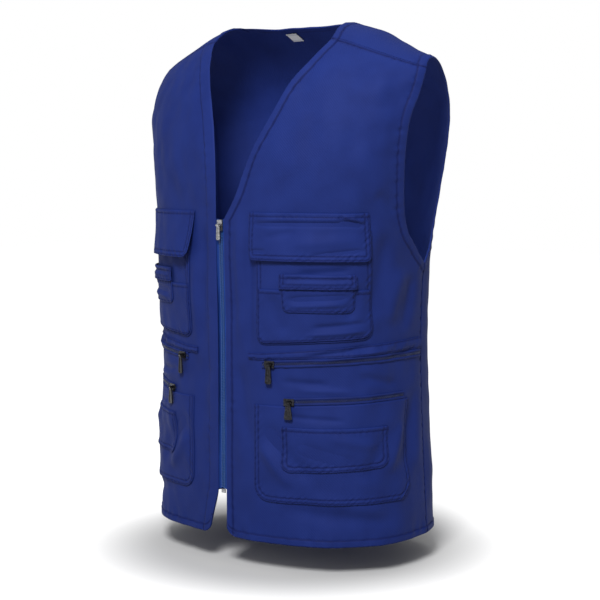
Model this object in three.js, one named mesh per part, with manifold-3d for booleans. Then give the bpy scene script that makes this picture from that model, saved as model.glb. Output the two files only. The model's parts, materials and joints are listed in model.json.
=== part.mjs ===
// Utility work vest, in millimetres, +Z up, +X the wearer's left, the front facing -Y.
// The origin is where the shoulders carry the vest, midway between them.
import * as THREE from "three";
import { mergeVertices } from "three/addons/utils/BufferGeometryUtils.js";
import Module from "manifold-3d";

const wasm = await Module();
wasm.setup();

// Whole garment
const garmentLength = 680;
const seatDepth = 30; // the top of the shoulders above the origin
const chestHalfWidth = 194;
const chestFrontDepth = 145;
const chestBackDepth = 138;
const shoulderHeight = 204; // the part of the length that curves in to the shoulder line
const shoulderSlope = 0.44; // drop for each millimetre outwards
const neckHalfWidth = 100;
const neckBlend = 30; // how softly the shoulder slope begins at the neck
const slopeFade = 1.7; // how late the slope sets in below the shoulder line
const backNeckDepth = 34; // how far the neckline lies behind the shoulder line
const sectionRoundness = 2.35; // 2 is an ellipse, more is squarer
const archRoundness = 2.6;

// Cloth
const cloth = 1.5;
const layer = 1.2;
const seamGap = 0.3;
const levelBandShare = 0.3; // above this share of the armhole its band is measured level
const binding = 10; // stitched width of the armhole and hem edges
const bandLayer = 0.6;
const bandGap = 0.9;
const facing = 17; // stitched width along the V

const label = { width: 18, height: 9, down: 4, middle: -42, thick: 0.5, gap: 0.8 };
const neckBinding = 10;
const neckEaseLevel = 0.9; // the rows of the back start to follow the neckline here

// Armhole, V and front edge
const armholeDepth = 320;
const vDepth = 262;
const frontOpening = 7; // half of the gap that the zip fills
const yokeDrop = 24; // how far the back comes over the shoulder line
const hemCorner = 16;
const slitHeight = 62;
const slitSpread = 13;
const sideAngle = 12; // the side seam, in degrees behind the widest point

// Pockets, from the middle of the front and from the top of the shoulders
const pocketPuff = 3;
const clothStep = 12; // widest step of a grid round the body
const garmentStep = 42; // tallest step of the front panels below the armhole
const chestPocket = { from: 58, width: 154, top: 274, height: 148, corner: 14, tilt: 9 };
const chestFlap = { from: 49, width: 160, top: 252, height: 61, corner: 9 };
const patchInset = 2.5;
const outerPatchHeight = 70;
const outerPatch = {
  from: chestPocket.from + patchInset,
  width: chestPocket.width - 2 * patchInset,
  top: chestPocket.top + chestPocket.height - patchInset - outerPatchHeight,
  height: outerPatchHeight,
  corner: chestPocket.corner - patchInset,
  tilt: chestPocket.tilt,
};
const smallPocket = { from: 96, width: 91, top: 343, height: 35, corner: 9 };
const smallFlap = { from: 94, width: 95, top: 329, height: 19, corner: 3 };
// How far a flap's free edge stands off, towards the zip and towards the side, and how many
// layers its top edge is sewn on
const leftFlapLift = { front: 4, side: 3, sewnOn: 0.25 };
const rightFlapLift = { front: 15, side: 6, sewnOn: 0.25 };
const smallFlapLift = { front: 0.8, side: 0.8, sewnOn: 3 };

// Zips
const zipTapeWidth = 10;
const zipTape = 0.8;
const teethWidth = 5;
const teethRise = 0.7;
const waistZip = { from: 66, width: 238, top: 447, rise: 9 };
const waistWelt = { height: 9, rise: 7, lead: 20 };
const lowerZip = { from: 96, width: 168, top: 494, rise: 5 };
const lowerPocket = { from: 54, width: 221, top: 500, height: 125, corner: 22, under: lowerZip };
const lowerSmallPocket = { from: 94, width: 140, top: 526, height: 59, corner: 14, tilt: 6 };
const mainTape = 12;
const mainTeeth = 3;
const mainTeethDepth = 1.4;
const stopHeight = 5;

// Sliders and pulls
const plate = { along: 14, across: 9, thick: 1.6 };
const barRadius = 0.8;
const barClearance = 0.3;
const knuckleWall = 0.9;
const knuckleClearance = 0.4; // between a knuckle and its plate
const knuckleWidth = 4.4;
const postWidth = 1.6;
const postHeight = 2.2;
const neckMargin = 0.5; // the main slider's neck stops short of its plates
const pullThickness = 1.5;
const pullRim = 1.3;
const pullCorner = 1.6;
const waistPull = { at: 77, length: 25, topWidth: 6, endWidth: 9 };
const lowerPull = { at: 104, length: 22, topWidth: 6, endWidth: 11 };
const mainPull = { length: 19, topWidth: 5, endWidth: 6.5 };

// Sections of the body, as shares of the length and of the chest sizes
const sections = [
  { level: 0.0, width: 1.04, front: 1.0, back: 1.02 },
  { level: 0.2, width: 1.0, front: 1.0, back: 1.0 },
  { level: 0.4, width: 0.98, front: 1.0, back: 0.98 },
  { level: 0.6, width: 1.02, front: 1.02, back: 1.02 },
  { level: 0.72, width: 1.1, front: 1.0, back: 1.08 },
  { level: 0.85, width: 1.18, front: 0.92, back: 1.06 },
  { level: 1.0, width: 1.2, front: 0.8, back: 0.95 },
];

// Armhole edge: share of its depth, and degrees round from the widest point to the front and the
// back. The right side of the back comes further forward.
const armhole = [
  { share: 0, front: -12, backLeft: 12, backRight: 12 },
  { share: 0.04, front: -6, backLeft: 18, backRight: 13 },
  { share: 0.09, front: -1, backLeft: 23, backRight: 14 },
  { share: 0.15, front: 3, backLeft: 26.5, backRight: 14.5 },
  { share: 0.24, front: 6.5, backLeft: 29, backRight: 15 },
  { share: 0.35, front: 9.5, backLeft: 30, backRight: 16.5 },
  { share: 0.48, front: 12, backLeft: 30, backRight: 18.5 },
  { share: 0.63, front: 13.5, backLeft: 28, backRight: 19.5 },
  { share: 0.77, front: 11, backLeft: 24, backRight: 19 },
  { share: 0.9, front: 10, backLeft: 19, backRight: 17 },
  { share: 1, front: 12, backLeft: 12, backRight: 12 },
];

// V edge: share of its depth, and share of the neck's half width on each side
const neckline = [
  { share: 0.0, left: 0.07, right: 0.07 },
  { share: 0.1, left: 0.24, right: 0.075 },
  { share: 0.22, left: 0.36, right: 0.09 },
  { share: 0.35, left: 0.5, right: 0.14 },
  { share: 0.5, left: 0.7, right: 0.27 },
  { share: 0.65, left: 0.86, right: 0.46 },
  { share: 0.8, left: 1.04, right: 0.7 },
  { share: 0.91, left: 1.12, right: 0.9 },
  { share: 1.0, left: 1.0, right: 0.96 },
];

// A smooth curve through the rows of a table
function blend(table, key, name, at) {
  const last = table.length - 1;
  const x = Math.min(Math.max(at, table[0][key]), table[last][key]);
  let i = 0;
  while (i < last - 1 && x > table[i + 1][key]) i += 1;
  const slope = (k) => {
    const a = table[Math.max(k - 1, 0)];
    const b = table[Math.min(k + 1, last)];
    return (b[name] - a[name]) / (b[key] - a[key]);
  };
  const span = table[i + 1][key] - table[i][key];
  const t = (x - table[i][key]) / span;
  const rise = t * t * (3 - 2 * t);
  return (
    table[i][name] * (1 - rise) +
    table[i + 1][name] * rise +
    span * t * (1 - t) * (slope(i) * (1 - t) - slope(i + 1) * t)
  );
}

// Where the curve of the shoulders starts, and other levels, as shares of the length
const shoulderLevel = 1 - shoulderHeight / garmentLength;
const armholeLevel = 1 - armholeDepth / garmentLength;
const vLevel = 1 - vDepth / garmentLength;
const yokeLevel = 1 - yokeDrop / garmentLength;
const radians = (degrees) => (degrees * Math.PI) / 180;

// A point of the cloth's inner face: turn runs round from the wearer's left (0) by the back (90)
// and the right (180) to the front (270), and reach runs up from the hem (0) to the shoulder
// line (1). Past 1 it comes down again on the other side of the shoulder line.
function bodyPoint(turn, reach) {
  const over = reach > 1;
  const level = over ? 2 - reach : reach;
  const angle = radians(over ? -turn : turn);
  const c = Math.cos(angle);
  const s = Math.sin(angle);
  const power = 2 / sectionRoundness;
  const q = Math.max(0, (level - shoulderLevel) / (1 - shoulderLevel));
  const arch = Math.sqrt(Math.max(0, 1 - Math.min(1, q) ** archRoundness));
  const depth = s < 0
    ? chestFrontDepth * blend(sections, "level", "front", level)
    : chestBackDepth * blend(sections, "level", "back", level);
  const halfWidth = chestHalfWidth * blend(sections, "level", "width", level);
  const x = halfWidth * Math.sign(c) * Math.abs(c) ** power;
  const y = depth * arch * Math.sign(s) * Math.abs(s) ** power;
  const outward = Math.abs(x) - neckHalfWidth;
  const drop = shoulderSlope * 0.5 * (outward + Math.hypot(outward, neckBlend));
  const z = seatDepth - (1 - level) * garmentLength - drop * Math.min(1, q) ** slopeFade;
  return new THREE.Vector3(x, y, z);
}

// The outward direction of the cloth at a point
function bodyNormal(turn, reach) {
  const step = 0.4;
  const rise = 0.004;
  const across = bodyPoint(turn + step, reach).sub(bodyPoint(turn - step, reach));
  const up = bodyPoint(turn, reach + rise).sub(bodyPoint(turn, reach - rise));
  return across.cross(up).normalize();
}

const onBody = (turn, reach, offset) =>
  bodyPoint(turn, reach).addScaledVector(bodyNormal(turn, reach), offset);

// The turn at a length measured round the body from the middle of the front, left positive
const girths = new Map();
function turnAt(girth, level) {
  const steps = 240;
  if (!girths.has(level)) {
    const lengths = [0];
    for (let i = 1; i <= steps; i += 1) {
      const a = bodyPoint(270 + (i - 1) * (180 / steps), level);
      const b = bodyPoint(270 + i * (180 / steps), level);
      a.z = b.z;
      lengths.push(lengths[i - 1] + a.distanceTo(b));
    }
    girths.set(level, lengths);
  }
  const lengths = girths.get(level);
  const wanted = Math.min(Math.abs(girth), lengths[steps] - 1e-6);
  let i = 0;
  while (lengths[i + 1] < wanted) i += 1;
  const share = (wanted - lengths[i]) / (lengths[i + 1] - lengths[i]);
  const turn = (i + share) * (180 / steps);
  return girth < 0 ? 270 - turn : 270 + turn;
}

// A length round the body at a turn, the other way about
function girthAt(turn, level) {
  turnAt(0, level);
  const lengths = girths.get(level);
  const steps = (lengths.length - 1) * (Math.abs(turn - 270) / 180);
  const i = Math.min(Math.floor(steps), lengths.length - 2);
  return lengths[i] + (lengths[i + 1] - lengths[i]) * (steps - i);
}

// A closed sheet over a grid of points: cell(i, j) says where there is cloth, and the rows of
// a ring join their last to their first
function sheet(columns, rows, point, cell = () => true, ring = false) {
  const positions = [];
  const index = [];
  const ids = new Map();
  const vertex = (i, j, side) => {
    const row = ring ? j % rows : j;
    const key = `${i},${row},${side}`;
    if (!ids.has(key)) {
      ids.set(key, positions.length / 3);
      positions.push(...point(i, row, side).toArray());
    }
    return ids.get(key);
  };
  const inRows = (j) => ring || (j >= 0 && j < rows);
  const there = (i, j) => i >= 0 && i < columns && inRows(j) && cell(i, j);
  const quad = (a, b, c, d) => index.push(a, b, c, a, c, d);
  for (let j = 0; j < rows; j += 1) {
    for (let i = 0; i < columns; i += 1) {
      if (!there(i, j)) continue;
      const [a, b, c, d] = [[i, j], [i + 1, j], [i + 1, j + 1], [i, j + 1]];
      quad(vertex(...a, 1), vertex(...b, 1), vertex(...c, 1), vertex(...d, 1));
      quad(vertex(...d, 0), vertex(...c, 0), vertex(...b, 0), vertex(...a, 0));
      const wall = (p, q) => quad(vertex(...p, 0), vertex(...q, 0), vertex(...q, 1), vertex(...p, 1));
      if (!there(i, j - 1)) wall(a, b);
      if (!there(i + 1, j)) wall(b, c);
      if (!there(i, j + 1)) wall(c, d);
      if (!there(i - 1, j)) wall(d, a);
    }
  }
  const geometry = new THREE.BufferGeometry();
  geometry.setAttribute("position", new THREE.Float32BufferAttribute(positions, 3));
  geometry.setIndex(index);
  geometry.computeVertexNormals();
  return geometry;
}

const mix = (a, b, t) => a + (b - a) * t;
const spread = (from, to, step) => {
  const count = Math.max(1, Math.ceil(Math.abs(to - from) / step));
  return Array.from({ length: count + 1 }, (_, i) => mix(from, to, i / count));
};

// Materials
function finish(color, roughness, metalness = 0) {
  return new THREE.MeshStandardMaterial({ color, roughness, metalness });
}
const twill = () => finish(0x27357a, 0.8);
const tape = () => finish(0x2a5a9e, 0.75);
const metal = () => finish(0x2b2c30, 0.35, 0.9);

const vest = new THREE.Group();
vest.name = "utility_work_vest";
function add(name, geometry, material) {
  const mesh = new THREE.Mesh(geometry, material);
  mesh.name = name;
  vest.add(mesh);
  return mesh;
}

// Edges of the panels. side is 1 for the wearer's left and -1 for the right.
const sideNames = new Map([[1, "left"], [-1, "right"]]);
const armholeShare = (reach) => (reach - armholeLevel) / (1 - armholeLevel);

// How far round the side or armhole edge is, in degrees back from the widest point
function edgeTurn(reach, part) {
  if (reach <= armholeLevel) return part === "front" ? -sideAngle : sideAngle;
  if (reach > 1) return blend(armhole, "share", "front", armholeShare(2 - reach));
  return blend(armhole, "share", part, armholeShare(reach));
}

// The front panel's outer edge, as a length round the body
const outerGirth = (level) => girthAt(360 - edgeTurn(level, "front"), level);

// The front panel's inner edge: down the V, along the zip and out along the slit
function innerGirth(side, level) {
  const slit = Math.max(0, 1 - (level * garmentLength) / slitHeight);
  if (level < vLevel) return frontOpening + (side < 0 ? slitSpread * slit : 0);
  const share = (level - vLevel) / (1 - vLevel);
  const width = neckHalfWidth * blend(neckline, "share", sideNames.get(side), share);
  return Math.max(frontOpening, width);
}

// The hem rises round the front corner
function hemLevel(side, girth) {
  const from = girth - innerGirth(side, 0);
  if (from >= hemCorner) return 0;
  return (hemCorner - Math.sqrt(hemCorner ** 2 - (hemCorner - from) ** 2)) / garmentLength;
}

// Turn of the line that runs down from the side of the neck
function neckTurn(side, reach) {
  const level = reach > 1 ? 2 - reach : reach;
  const share = Math.max(0, (level - vLevel) / (1 - vLevel));
  const name = sideNames.get(side);
  const wide = reach > 1 ? blend(neckline, "share", name, share) : blend(neckline, "share", name, 1);
  const halfWidth = chestHalfWidth * blend(sections, "level", "width", level);
  const ratio = Math.min(1, (neckHalfWidth * wide) / halfWidth);
  return (Math.acos(ratio ** (sectionRoundness / 2)) * 180) / Math.PI;
}

// The level at a distance along the cloth below another level
function levelBelow(turn, level, distance) {
  const step = 0.00005;
  const start = bodyPoint(turn, level);
  let below = level;
  while (bodyPoint(turn, below).distanceTo(start) < distance) below -= step;
  return below;
}

// Level of the back neckline, which lies on a half ellipse seen from above
function backNeckLevel(x) {
  const halfWidth = neckHalfWidth * neckline[neckline.length - 1][x < 0 ? "right" : "left"];
  const share = Math.max(0, 1 - (x / halfWidth) ** 2);
  const depth = chestBackDepth * sections[sections.length - 1].back;
  const q = (1 - (backNeckDepth / depth) ** 2 * share) ** (1 / archRoundness);
  return shoulderLevel + (1 - shoulderLevel) * q;
}

// Rows of the body, shared by the panels and by what is sewn along their edges
const armholeShares = [0, 0.05, 0.13, 0.26, 0.42, 0.6, 0.76, 0.87, 0.93, 0.975];
const bandReach = levelBelow(neckTurn(1, 1), 1, neckBinding);
const armholeRows = [...armholeShares.map((share) => mix(armholeLevel, 1, share)), bandReach, 1];
const lowerRows = [0, 0.09, 0.33, 0.58, 0.8].map((share) => share * armholeLevel);
const frontLowerRows = spread(0, armholeLevel, garmentStep / garmentLength).slice(0, -1);
const rowMargin = 0.01; // no row comes closer than this to the one that ends a grid
const belowYoke = armholeRows.filter((level) => level < yokeLevel - rowMargin);
const panelRows = [...frontLowerRows, ...belowYoke];

// Front panels
function frontPanel(side) {
  const rows = [...panelRows, yokeLevel - seamGap / garmentLength];
  const columns = 14;
  const point = (i, j, face) => {
    const level = rows[j];
    const girth = mix(innerGirth(side, level), outerGirth(level) - seamGap / 2, i / columns);
    const reach = j === 0 ? Math.max(level, hemLevel(side, girth)) : level;
    const turn = turnAt(side * girth, reach);
    return onBody(turn, reach, face * cloth);
  };
  return mirrored(columns, rows.length - 1, point, side);
}

// The right side's grid runs the other way round, so its columns are read backwards
function mirrored(columns, rows, point, side) {
  if (side > 0) return sheet(columns, rows, point);
  return sheet(columns, rows, (i, j, face) => point(columns - i, j, face));
}

// Back panel: the shoulders go on over the shoulder line to the yoke seam, with the neck between
const shoulderColumns = 5;
const neckColumns = 10;
const backColumns = 2 * shoulderColumns + neckColumns;
const yokeRows = [0, 0.15, 0.5, 1].map((share) => 1 + share * (1 - yokeLevel));
const backRows = [...lowerRows, ...armholeRows.slice(0, -1), ...yokeRows];

// Turn and reach of a vertex of the back panel
function backAt(i, j) {
  const reach = backRows[j];
  const seam = reach <= armholeLevel ? (seamGap / 2 / chestHalfWidth) * (180 / Math.PI) : 0;
  const leftEdge = edgeTurn(reach, "backLeft") + seam;
  const rightEdge = 180 - edgeTurn(reach, "backRight") - seam;
  const left = neckTurn(1, reach);
  const right = 180 - neckTurn(-1, reach);
  if (i <= shoulderColumns) return { turn: mix(leftEdge, left, i / shoulderColumns), reach };
  if (i >= shoulderColumns + neckColumns) {
    const fromEdge = (backColumns - i) / shoulderColumns;
    return { turn: mix(rightEdge, right, fromEdge), reach };
  }
  const turn = mix(left, right, (i - shoulderColumns) / neckColumns);
  if (reach <= neckEaseLevel) return { turn, reach };
  const edgeLevel = backNeckLevel(bodyPoint(turn, 1).x);
  if (reach === 1) return { turn, reach: edgeLevel };
  const bandLevel = levelBelow(turn, edgeLevel, neckBinding);
  const eased = (bandLevel - neckEaseLevel) / (bandReach - neckEaseLevel);
  return { turn, reach: neckEaseLevel + (reach - neckEaseLevel) * eased };
}

function backPanel() {
  const neckRow = backRows.indexOf(1);
  const inNeck = (i, j) => j >= neckRow && i >= shoulderColumns && i < shoulderColumns + neckColumns;
  const point = (i, j, face) => {
    const { turn, reach } = backAt(i, j);
    return onBody(turn, reach, face * cloth);
  };
  return sheet(backColumns, backRows.length - 1, point, (i, j) => !inNeck(i, j));
}

// A sheet's mirror image on the other side of the body
function mirrorImage(geometry) {
  const other = geometry.clone().scale(-1, 1, 1);
  const index = other.index.array;
  for (let i = 0; i < index.length; i += 3) {
    [index[i + 1], index[i + 2]] = [index[i + 2], index[i + 1]];
  }
  other.computeVertexNormals();
  return other;
}

function addPair(name, geometry, material) {
  add(`left_${name}`, geometry, material());
  add(`right_${name}`, mirrorImage(geometry), material());
}

// Edges: the stitched bands lie on the panels, on the same rows and columns
const bandFace = (face) => cloth + bandGap + face * bandLayer;

function frontBand(side) {
  const rows = [...panelRows, yokeLevel - seamGap / garmentLength];
  const columns = 2;
  const point = (i, j, face) => {
    const level = rows[j];
    const girth = innerGirth(side, level) + (facing * i) / columns;
    const reach = j === 0 ? Math.max(level, hemLevel(side, girth)) : level;
    return onBody(turnAt(side * girth, reach), reach, bandFace(face));
  };
  return mirrored(columns, rows.length - 1, point, side);
}

function frontHemBand(side) {
  const columns = Math.ceil(outerGirth(0) / (1.6 * clothStep));
  const point = (i, j, face) => {
    const level = (j * binding) / garmentLength;
    const from = innerGirth(side, level) + facing + seamGap;
    const girth = mix(from, outerGirth(level) - seamGap / 2, i / columns);
    const reach = Math.max(level, hemLevel(side, girth));
    return onBody(turnAt(side * girth, reach), reach, bandFace(face));
  };
  return mirrored(columns, 1, point, side);
}

function backHemBand() {
  const point = (i, j, face) => onBody(backAt(i, 0).turn, (j * binding) / garmentLength, bandFace(face));
  return sheet(backColumns, 1, point);
}

function backNeckBand() {
  const neckRow = backRows.indexOf(1);
  const point = (i, j, face) => {
    const { turn, reach } = backAt(i + shoulderColumns, neckRow - 1 + j);
    return onBody(turn, reach, bandFace(face));
  };
  return sheet(neckColumns, 1, point);
}

// The label hangs inside the back of the neck, to the right of the middle
function neckLabel() {
  const halfWidth = chestHalfWidth * sections[sections.length - 1].width;
  const point = (i, j, face) => {
    const x = label.middle + label.width * (i - 0.5);
    const cosine = Math.sign(x) * (Math.abs(x) / halfWidth) ** (sectionRoundness / 2);
    const down = label.down + label.height * (1 - j);
    const level = backNeckLevel(label.middle) - down / garmentLength;
    return onBody((Math.acos(cosine) * 180) / Math.PI, level, -label.gap - (1 - face) * label.thick);
  };
  return sheet(1, 1, (i, j, face) => point(1 - i, j, face));
}

// The armhole's edge is a ring: up the front, over the shoulder line and down the back. Its
// outer edge lies square to it, measured on the cloth laid flat.
function armholeBand(part) {
  const half = (levels, edge, sign) => {
    const flat = levels.map((level) => {
      const turn = level === armholeLevel ? sideAngle : sign * edgeTurn(level, edge);
      return { turn, level, x: girthAt(360 + turn, level), y: level * garmentLength };
    });
    return flat.map((at, k) => {
      const before = flat[Math.max(k - 1, 0)];
      const after = flat[Math.min(k + 1, flat.length - 1)];
      const away = new THREE.Vector2(before.y - after.y, after.x - before.x).normalize();
      away.multiplyScalar(-sign);
      if (k === 0) away.set(0, -1);
      if (armholeShare(at.level) > levelBandShare) away.set(sign, 0);
      const level = (at.y + away.y * binding) / garmentLength;
      const turn = turnAt(at.x + away.x * binding, level) - 360;
      return [{ turn, level }, { turn: at.turn, level: at.level }];
    });
  };
  const over = yokeRows.map((reach) => 2 - reach).reverse();
  const front = [...panelRows.filter((level) => level >= armholeLevel), ...over];
  const loop = [...half(front, "front", -1), ...half(armholeRows, part, 1).slice(1, -1).reverse()];
  const point = (i, j, face) => onBody(loop[j][i].turn, loop[j][i].level, bandFace(face));
  return sheet(1, loop.length, point, () => true, true);
}

// Pockets and flaps. Each lies at a depth below the shoulders and a girth from the middle,
// on one to four layers, and every layer of a pocket takes the same puff.
const stack = (layers) => cloth + seamGap + layers * (layer + seamGap);
const depthToLevel = (depth) => 1 - depth / garmentLength;

const zipLine = (zip, girth) => {
  const share = Math.min(1, Math.max(0, (girth - zip.from) / zip.width));
  return zip.top - zip.rise * (1 - (1 - share) ** 2);
};

// Depth of a pocket's edges at a girth
function topOf(pocket, girth) {
  if (!pocket.under) return pocket.top;
  return zipLine(pocket.under, girth) + zipTapeWidth / 2 + seamGap;
}
function bottomOf(pocket, girth) {
  const share = (girth - pocket.from) / pocket.width;
  return pocket.top + pocket.height - (pocket.tilt ?? 0) * share;
}

// How far a pocket stands off at a point
function puffOf(pocket, girth, depth) {
  const across = (girth - pocket.from) / pocket.width;
  const top = topOf(pocket, girth);
  const down = (depth - top) / (bottomOf(pocket, girth) - top);
  if (across <= 0 || across >= 1 || down <= 0 || down >= 1) return 0;
  return pocketPuff * Math.sin(Math.PI * across) * Math.sin(Math.PI * down);
}

const noLift = { front: 0, side: 0 };
const liftCurve = 1.6;

// Rows of a patch from the bottom up, with round bottom corners
function patchRows(corner, height, count) {
  const round = [0, 45, 90].map((angle) => {
    const a = radians(angle);
    return { up: corner * (1 - Math.cos(a)), inset: corner * (1 - Math.sin(a)) };
  });
  const straight = spread(corner, height, (height - corner) / count).slice(1);
  return [...round, ...straight.map((up) => ({ up, inset: 0 }))];
}

function patch(shape, layers, parent, lift = noLift, rowCount = 3) {
  const rows = patchRows(shape.corner, shape.height, rowCount);
  const columns = Math.ceil(shape.width / clothStep);
  const point = (i, j, face) => {
    const { up, inset } = rows[j];
    const girth = mix(shape.from + inset, shape.from + shape.width - inset, i / columns);
    const top = topOf(shape, girth);
    const depth = mix(bottomOf(shape, girth), top, up / shape.height);
    const level = depthToLevel(depth);
    const across = (girth - shape.from) / shape.width;
    const atEdge = lift.side + (lift.front - lift.side) * (1 - across) ** 2;
    const standing = atEdge * (1 - up / shape.height) ** liftCurve;
    const under = j === rows.length - 1 ? (lift.sewnOn ?? layers) : layers;
    const offset = stack(under) + puffOf(parent, girth, depth) + standing + face * layer;
    return onBody(turnAt(girth, level), level, offset);
  };
  return sheet(columns, rows.length - 1, point);
}

// A pocket zip: a strip of tape with the row of teeth raised along its middle
function pocketZip(zip) {
  const columns = Math.ceil(zip.width / clothStep);
  const profile = [
    { out: -zipTapeWidth / 2, raised: 0 },
    { out: -teethWidth / 2, raised: 1 },
    { out: teethWidth / 2, raised: 1 },
    { out: zipTapeWidth / 2, raised: 0 },
  ];
  const point = (i, j, face) => {
    const girth = zip.from + (zip.width * i) / columns;
    const level = depthToLevel(zipLine(zip, girth) - profile[j].out);
    const offset = stack(0) + face * (zipTape + teethRise * profile[j].raised);
    return onBody(turnAt(girth, level), level, offset);
  };
  return sheet(columns, profile.length - 1, point);
}

// The welt above the waist zip widens towards the side
function waistBand() {
  const columns = Math.ceil((waistZip.width + waistWelt.lead) / clothStep);
  const point = (i, j, face) => {
    const share = i / columns;
    const girth = mix(waistZip.from - waistWelt.lead, waistZip.from + waistZip.width, share);
    const bottom = zipLine(waistZip, girth) - zipTapeWidth / 2 - seamGap;
    const depth = bottom - j * (waistWelt.height + waistWelt.rise * share);
    return onBody(turnAt(girth, depthToLevel(depth)), depthToLevel(depth), stack(0) + face * layer);
  };
  return sheet(columns, 1, point);
}

// Main zip: tapes behind the front edges, a row of teeth on each, closed from the V to the slit
const zipEnd = garmentLength - slitHeight;
const mainSteps = 8;
const mainRows = spread(depthToLevel(zipEnd), vLevel, (vLevel - depthToLevel(zipEnd)) / mainSteps);
const sliderDepth = vDepth + plate.along / 2 + 1; // just below the V
const teethTop = depthToLevel(sliderDepth);

function mainStrip(from, to, inner, outer, rows) {
  const point = (i, j, face) => {
    const level = rows[j];
    return onBody(turnAt(mix(from, to, i), level), level, face ? outer : inner);
  };
  return sheet(1, rows.length - 1, point);
}

function mainTapeStrip() {
  const from = mainTeeth + seamGap;
  return mainStrip(from, from + mainTape, -seamGap - zipTape, -seamGap, mainRows);
}

function mainTeethStrip() {
  const rows = [...mainRows.filter((level) => level < teethTop - rowMargin), teethTop];
  return mainStrip(seamGap / 2, mainTeeth, -mainTeethDepth, teethRise, rows);
}

// Hard pieces stand in a frame of their own: X level along the cloth, -Y outwards, Z up
function placed(mesh, girth, depth, offset) {
  const level = depthToLevel(depth);
  const turn = turnAt(girth, level);
  const out = bodyNormal(turn, level).setZ(0).normalize();
  const base = bodyPoint(turn, level).addScaledVector(out, offset);
  mesh.position.copy(base);
  mesh.rotation.z = Math.atan2(out.y, out.x) + Math.PI / 2;
  return mesh;
}

// manifold-3d solids from three.js shapes, and back
function solid(geometry) {
  const bare = geometry.clone();
  bare.deleteAttribute("normal");
  bare.deleteAttribute("uv");
  const merged = mergeVertices(bare, 1e-4);
  return new wasm.Manifold(new wasm.Mesh({
    numProp: 3,
    vertProperties: new Float32Array(merged.attributes.position.array),
    triVerts: new Uint32Array(merged.index.array),
  }));
}

function geometryOf(manifold) {
  const mesh = manifold.getMesh();
  const geometry = new THREE.BufferGeometry();
  geometry.setAttribute("position", new THREE.Float32BufferAttribute(mesh.vertProperties, 3));
  geometry.setIndex(new THREE.Uint32BufferAttribute(mesh.triVerts, 1));
  geometry.computeVertexNormals();
  return geometry;
}

const box = (x, y, z, at) => solid(new THREE.BoxGeometry(x, y, z).translate(...at));

// The bar of a slider lies this far out from the plate's back
const knuckleRadius = barRadius + barClearance + knuckleWall;
const barOut = plate.thick + knuckleRadius + knuckleClearance;

function sliderBody(width, height) {
  const span = knuckleWidth + 2 * seamGap;
  const postLength = barOut - plate.thick / 2 + barRadius;
  const postX = span / 2 + postWidth / 2;
  const postY = -(plate.thick / 2 + postLength / 2);
  const bar = new THREE.CylinderGeometry(barRadius, barRadius, span + postWidth, 12);
  bar.rotateZ(Math.PI / 2).translate(0, -barOut, 0);
  let body = box(width, plate.thick, height, [0, -plate.thick / 2, 0]);
  for (const side of [1, -1]) {
    body = body.add(box(postWidth, postLength, postHeight, [side * postX, postY, 0]));
  }
  return body.add(solid(bar));
}

// The main slider also has a plate behind the teeth and a neck that joins the two
function mainSliderBody() {
  const behind = teethRise + seamGap + mainTeethDepth + seamGap;
  const neck = { width: mainTeeth, height: plate.along / 2 - seamGap - neckMargin };
  const at = plate.along / 2 - neck.height / 2;
  return sliderBody(plate.across, plate.along)
    .add(box(plate.across, plate.thick, plate.along, [0, behind + plate.thick / 2, 0]))
    .add(box(neck.width, behind + plate.thick, neck.height, [0, behind / 2, at]));
}

// A pull: a knuckle round the bar and a tab that hangs from it, with a sunk window.
// It is made round its own hinge line, so it is placed there.
function pullBody(pull) {
  const ring = new THREE.Shape().absarc(0, 0, knuckleRadius, 0, 2 * Math.PI);
  ring.holes.push(new THREE.Path().absarc(0, 0, barRadius + barClearance, 0, 2 * Math.PI, true));
  const across = { depth: knuckleWidth, bevelEnabled: false, curveSegments: 6 };
  const knuckle = new THREE.ExtrudeGeometry(ring, across);
  knuckle.translate(0, 0, -knuckleWidth / 2).rotateY(Math.PI / 2);
  const below = -(barRadius + barClearance + knuckleWall / 2);
  const outline = (inset, top) => {
    const start = pull.topWidth / 2 - inset;
    const end = pull.endWidth / 2 - inset;
    const foot = inset - pull.length;
    const cut = pullCorner - inset / 2;
    const shape = new THREE.Shape();
    shape.moveTo(-start, top);
    shape.lineTo(-end, foot + cut);
    shape.lineTo(cut - end, foot);
    shape.lineTo(end - cut, foot);
    shape.lineTo(end, foot + cut);
    shape.lineTo(start, top);
    return shape;
  };
  const slab = (shape, thickness, out) => {
    const geometry = new THREE.ExtrudeGeometry(shape, { depth: thickness, bevelEnabled: false });
    return solid(geometry.rotateX(Math.PI / 2).translate(0, out, 0));
  };
  const tab = slab(outline(0, below), pullThickness, pullThickness / 2);
  const window = slab(outline(pullRim, below - 2 * pullRim), pullThickness / 3, -pullThickness / 6);
  return solid(knuckle).add(tab).subtract(window);
}

// Panels and edges
add("back_panel", backPanel(), twill());
for (const side of [1, -1]) {
  const name = sideNames.get(side);
  add(`${name}_front_panel`, frontPanel(side), twill());
  add(`${name}_front_band`, frontBand(side), twill());
  add(`${name}_hem_band`, frontHemBand(side), twill());
}
add("back_hem_band", backHemBand(), twill());
add("back_neck_band", backNeckBand(), twill());
add("left_armhole_band", armholeBand("backLeft"), twill());
add("right_armhole_band", mirrorImage(armholeBand("backRight")), twill());

// Neck label, bare
add("neck_label", neckLabel(), finish(0xe8e8e6, 0.9));

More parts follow.
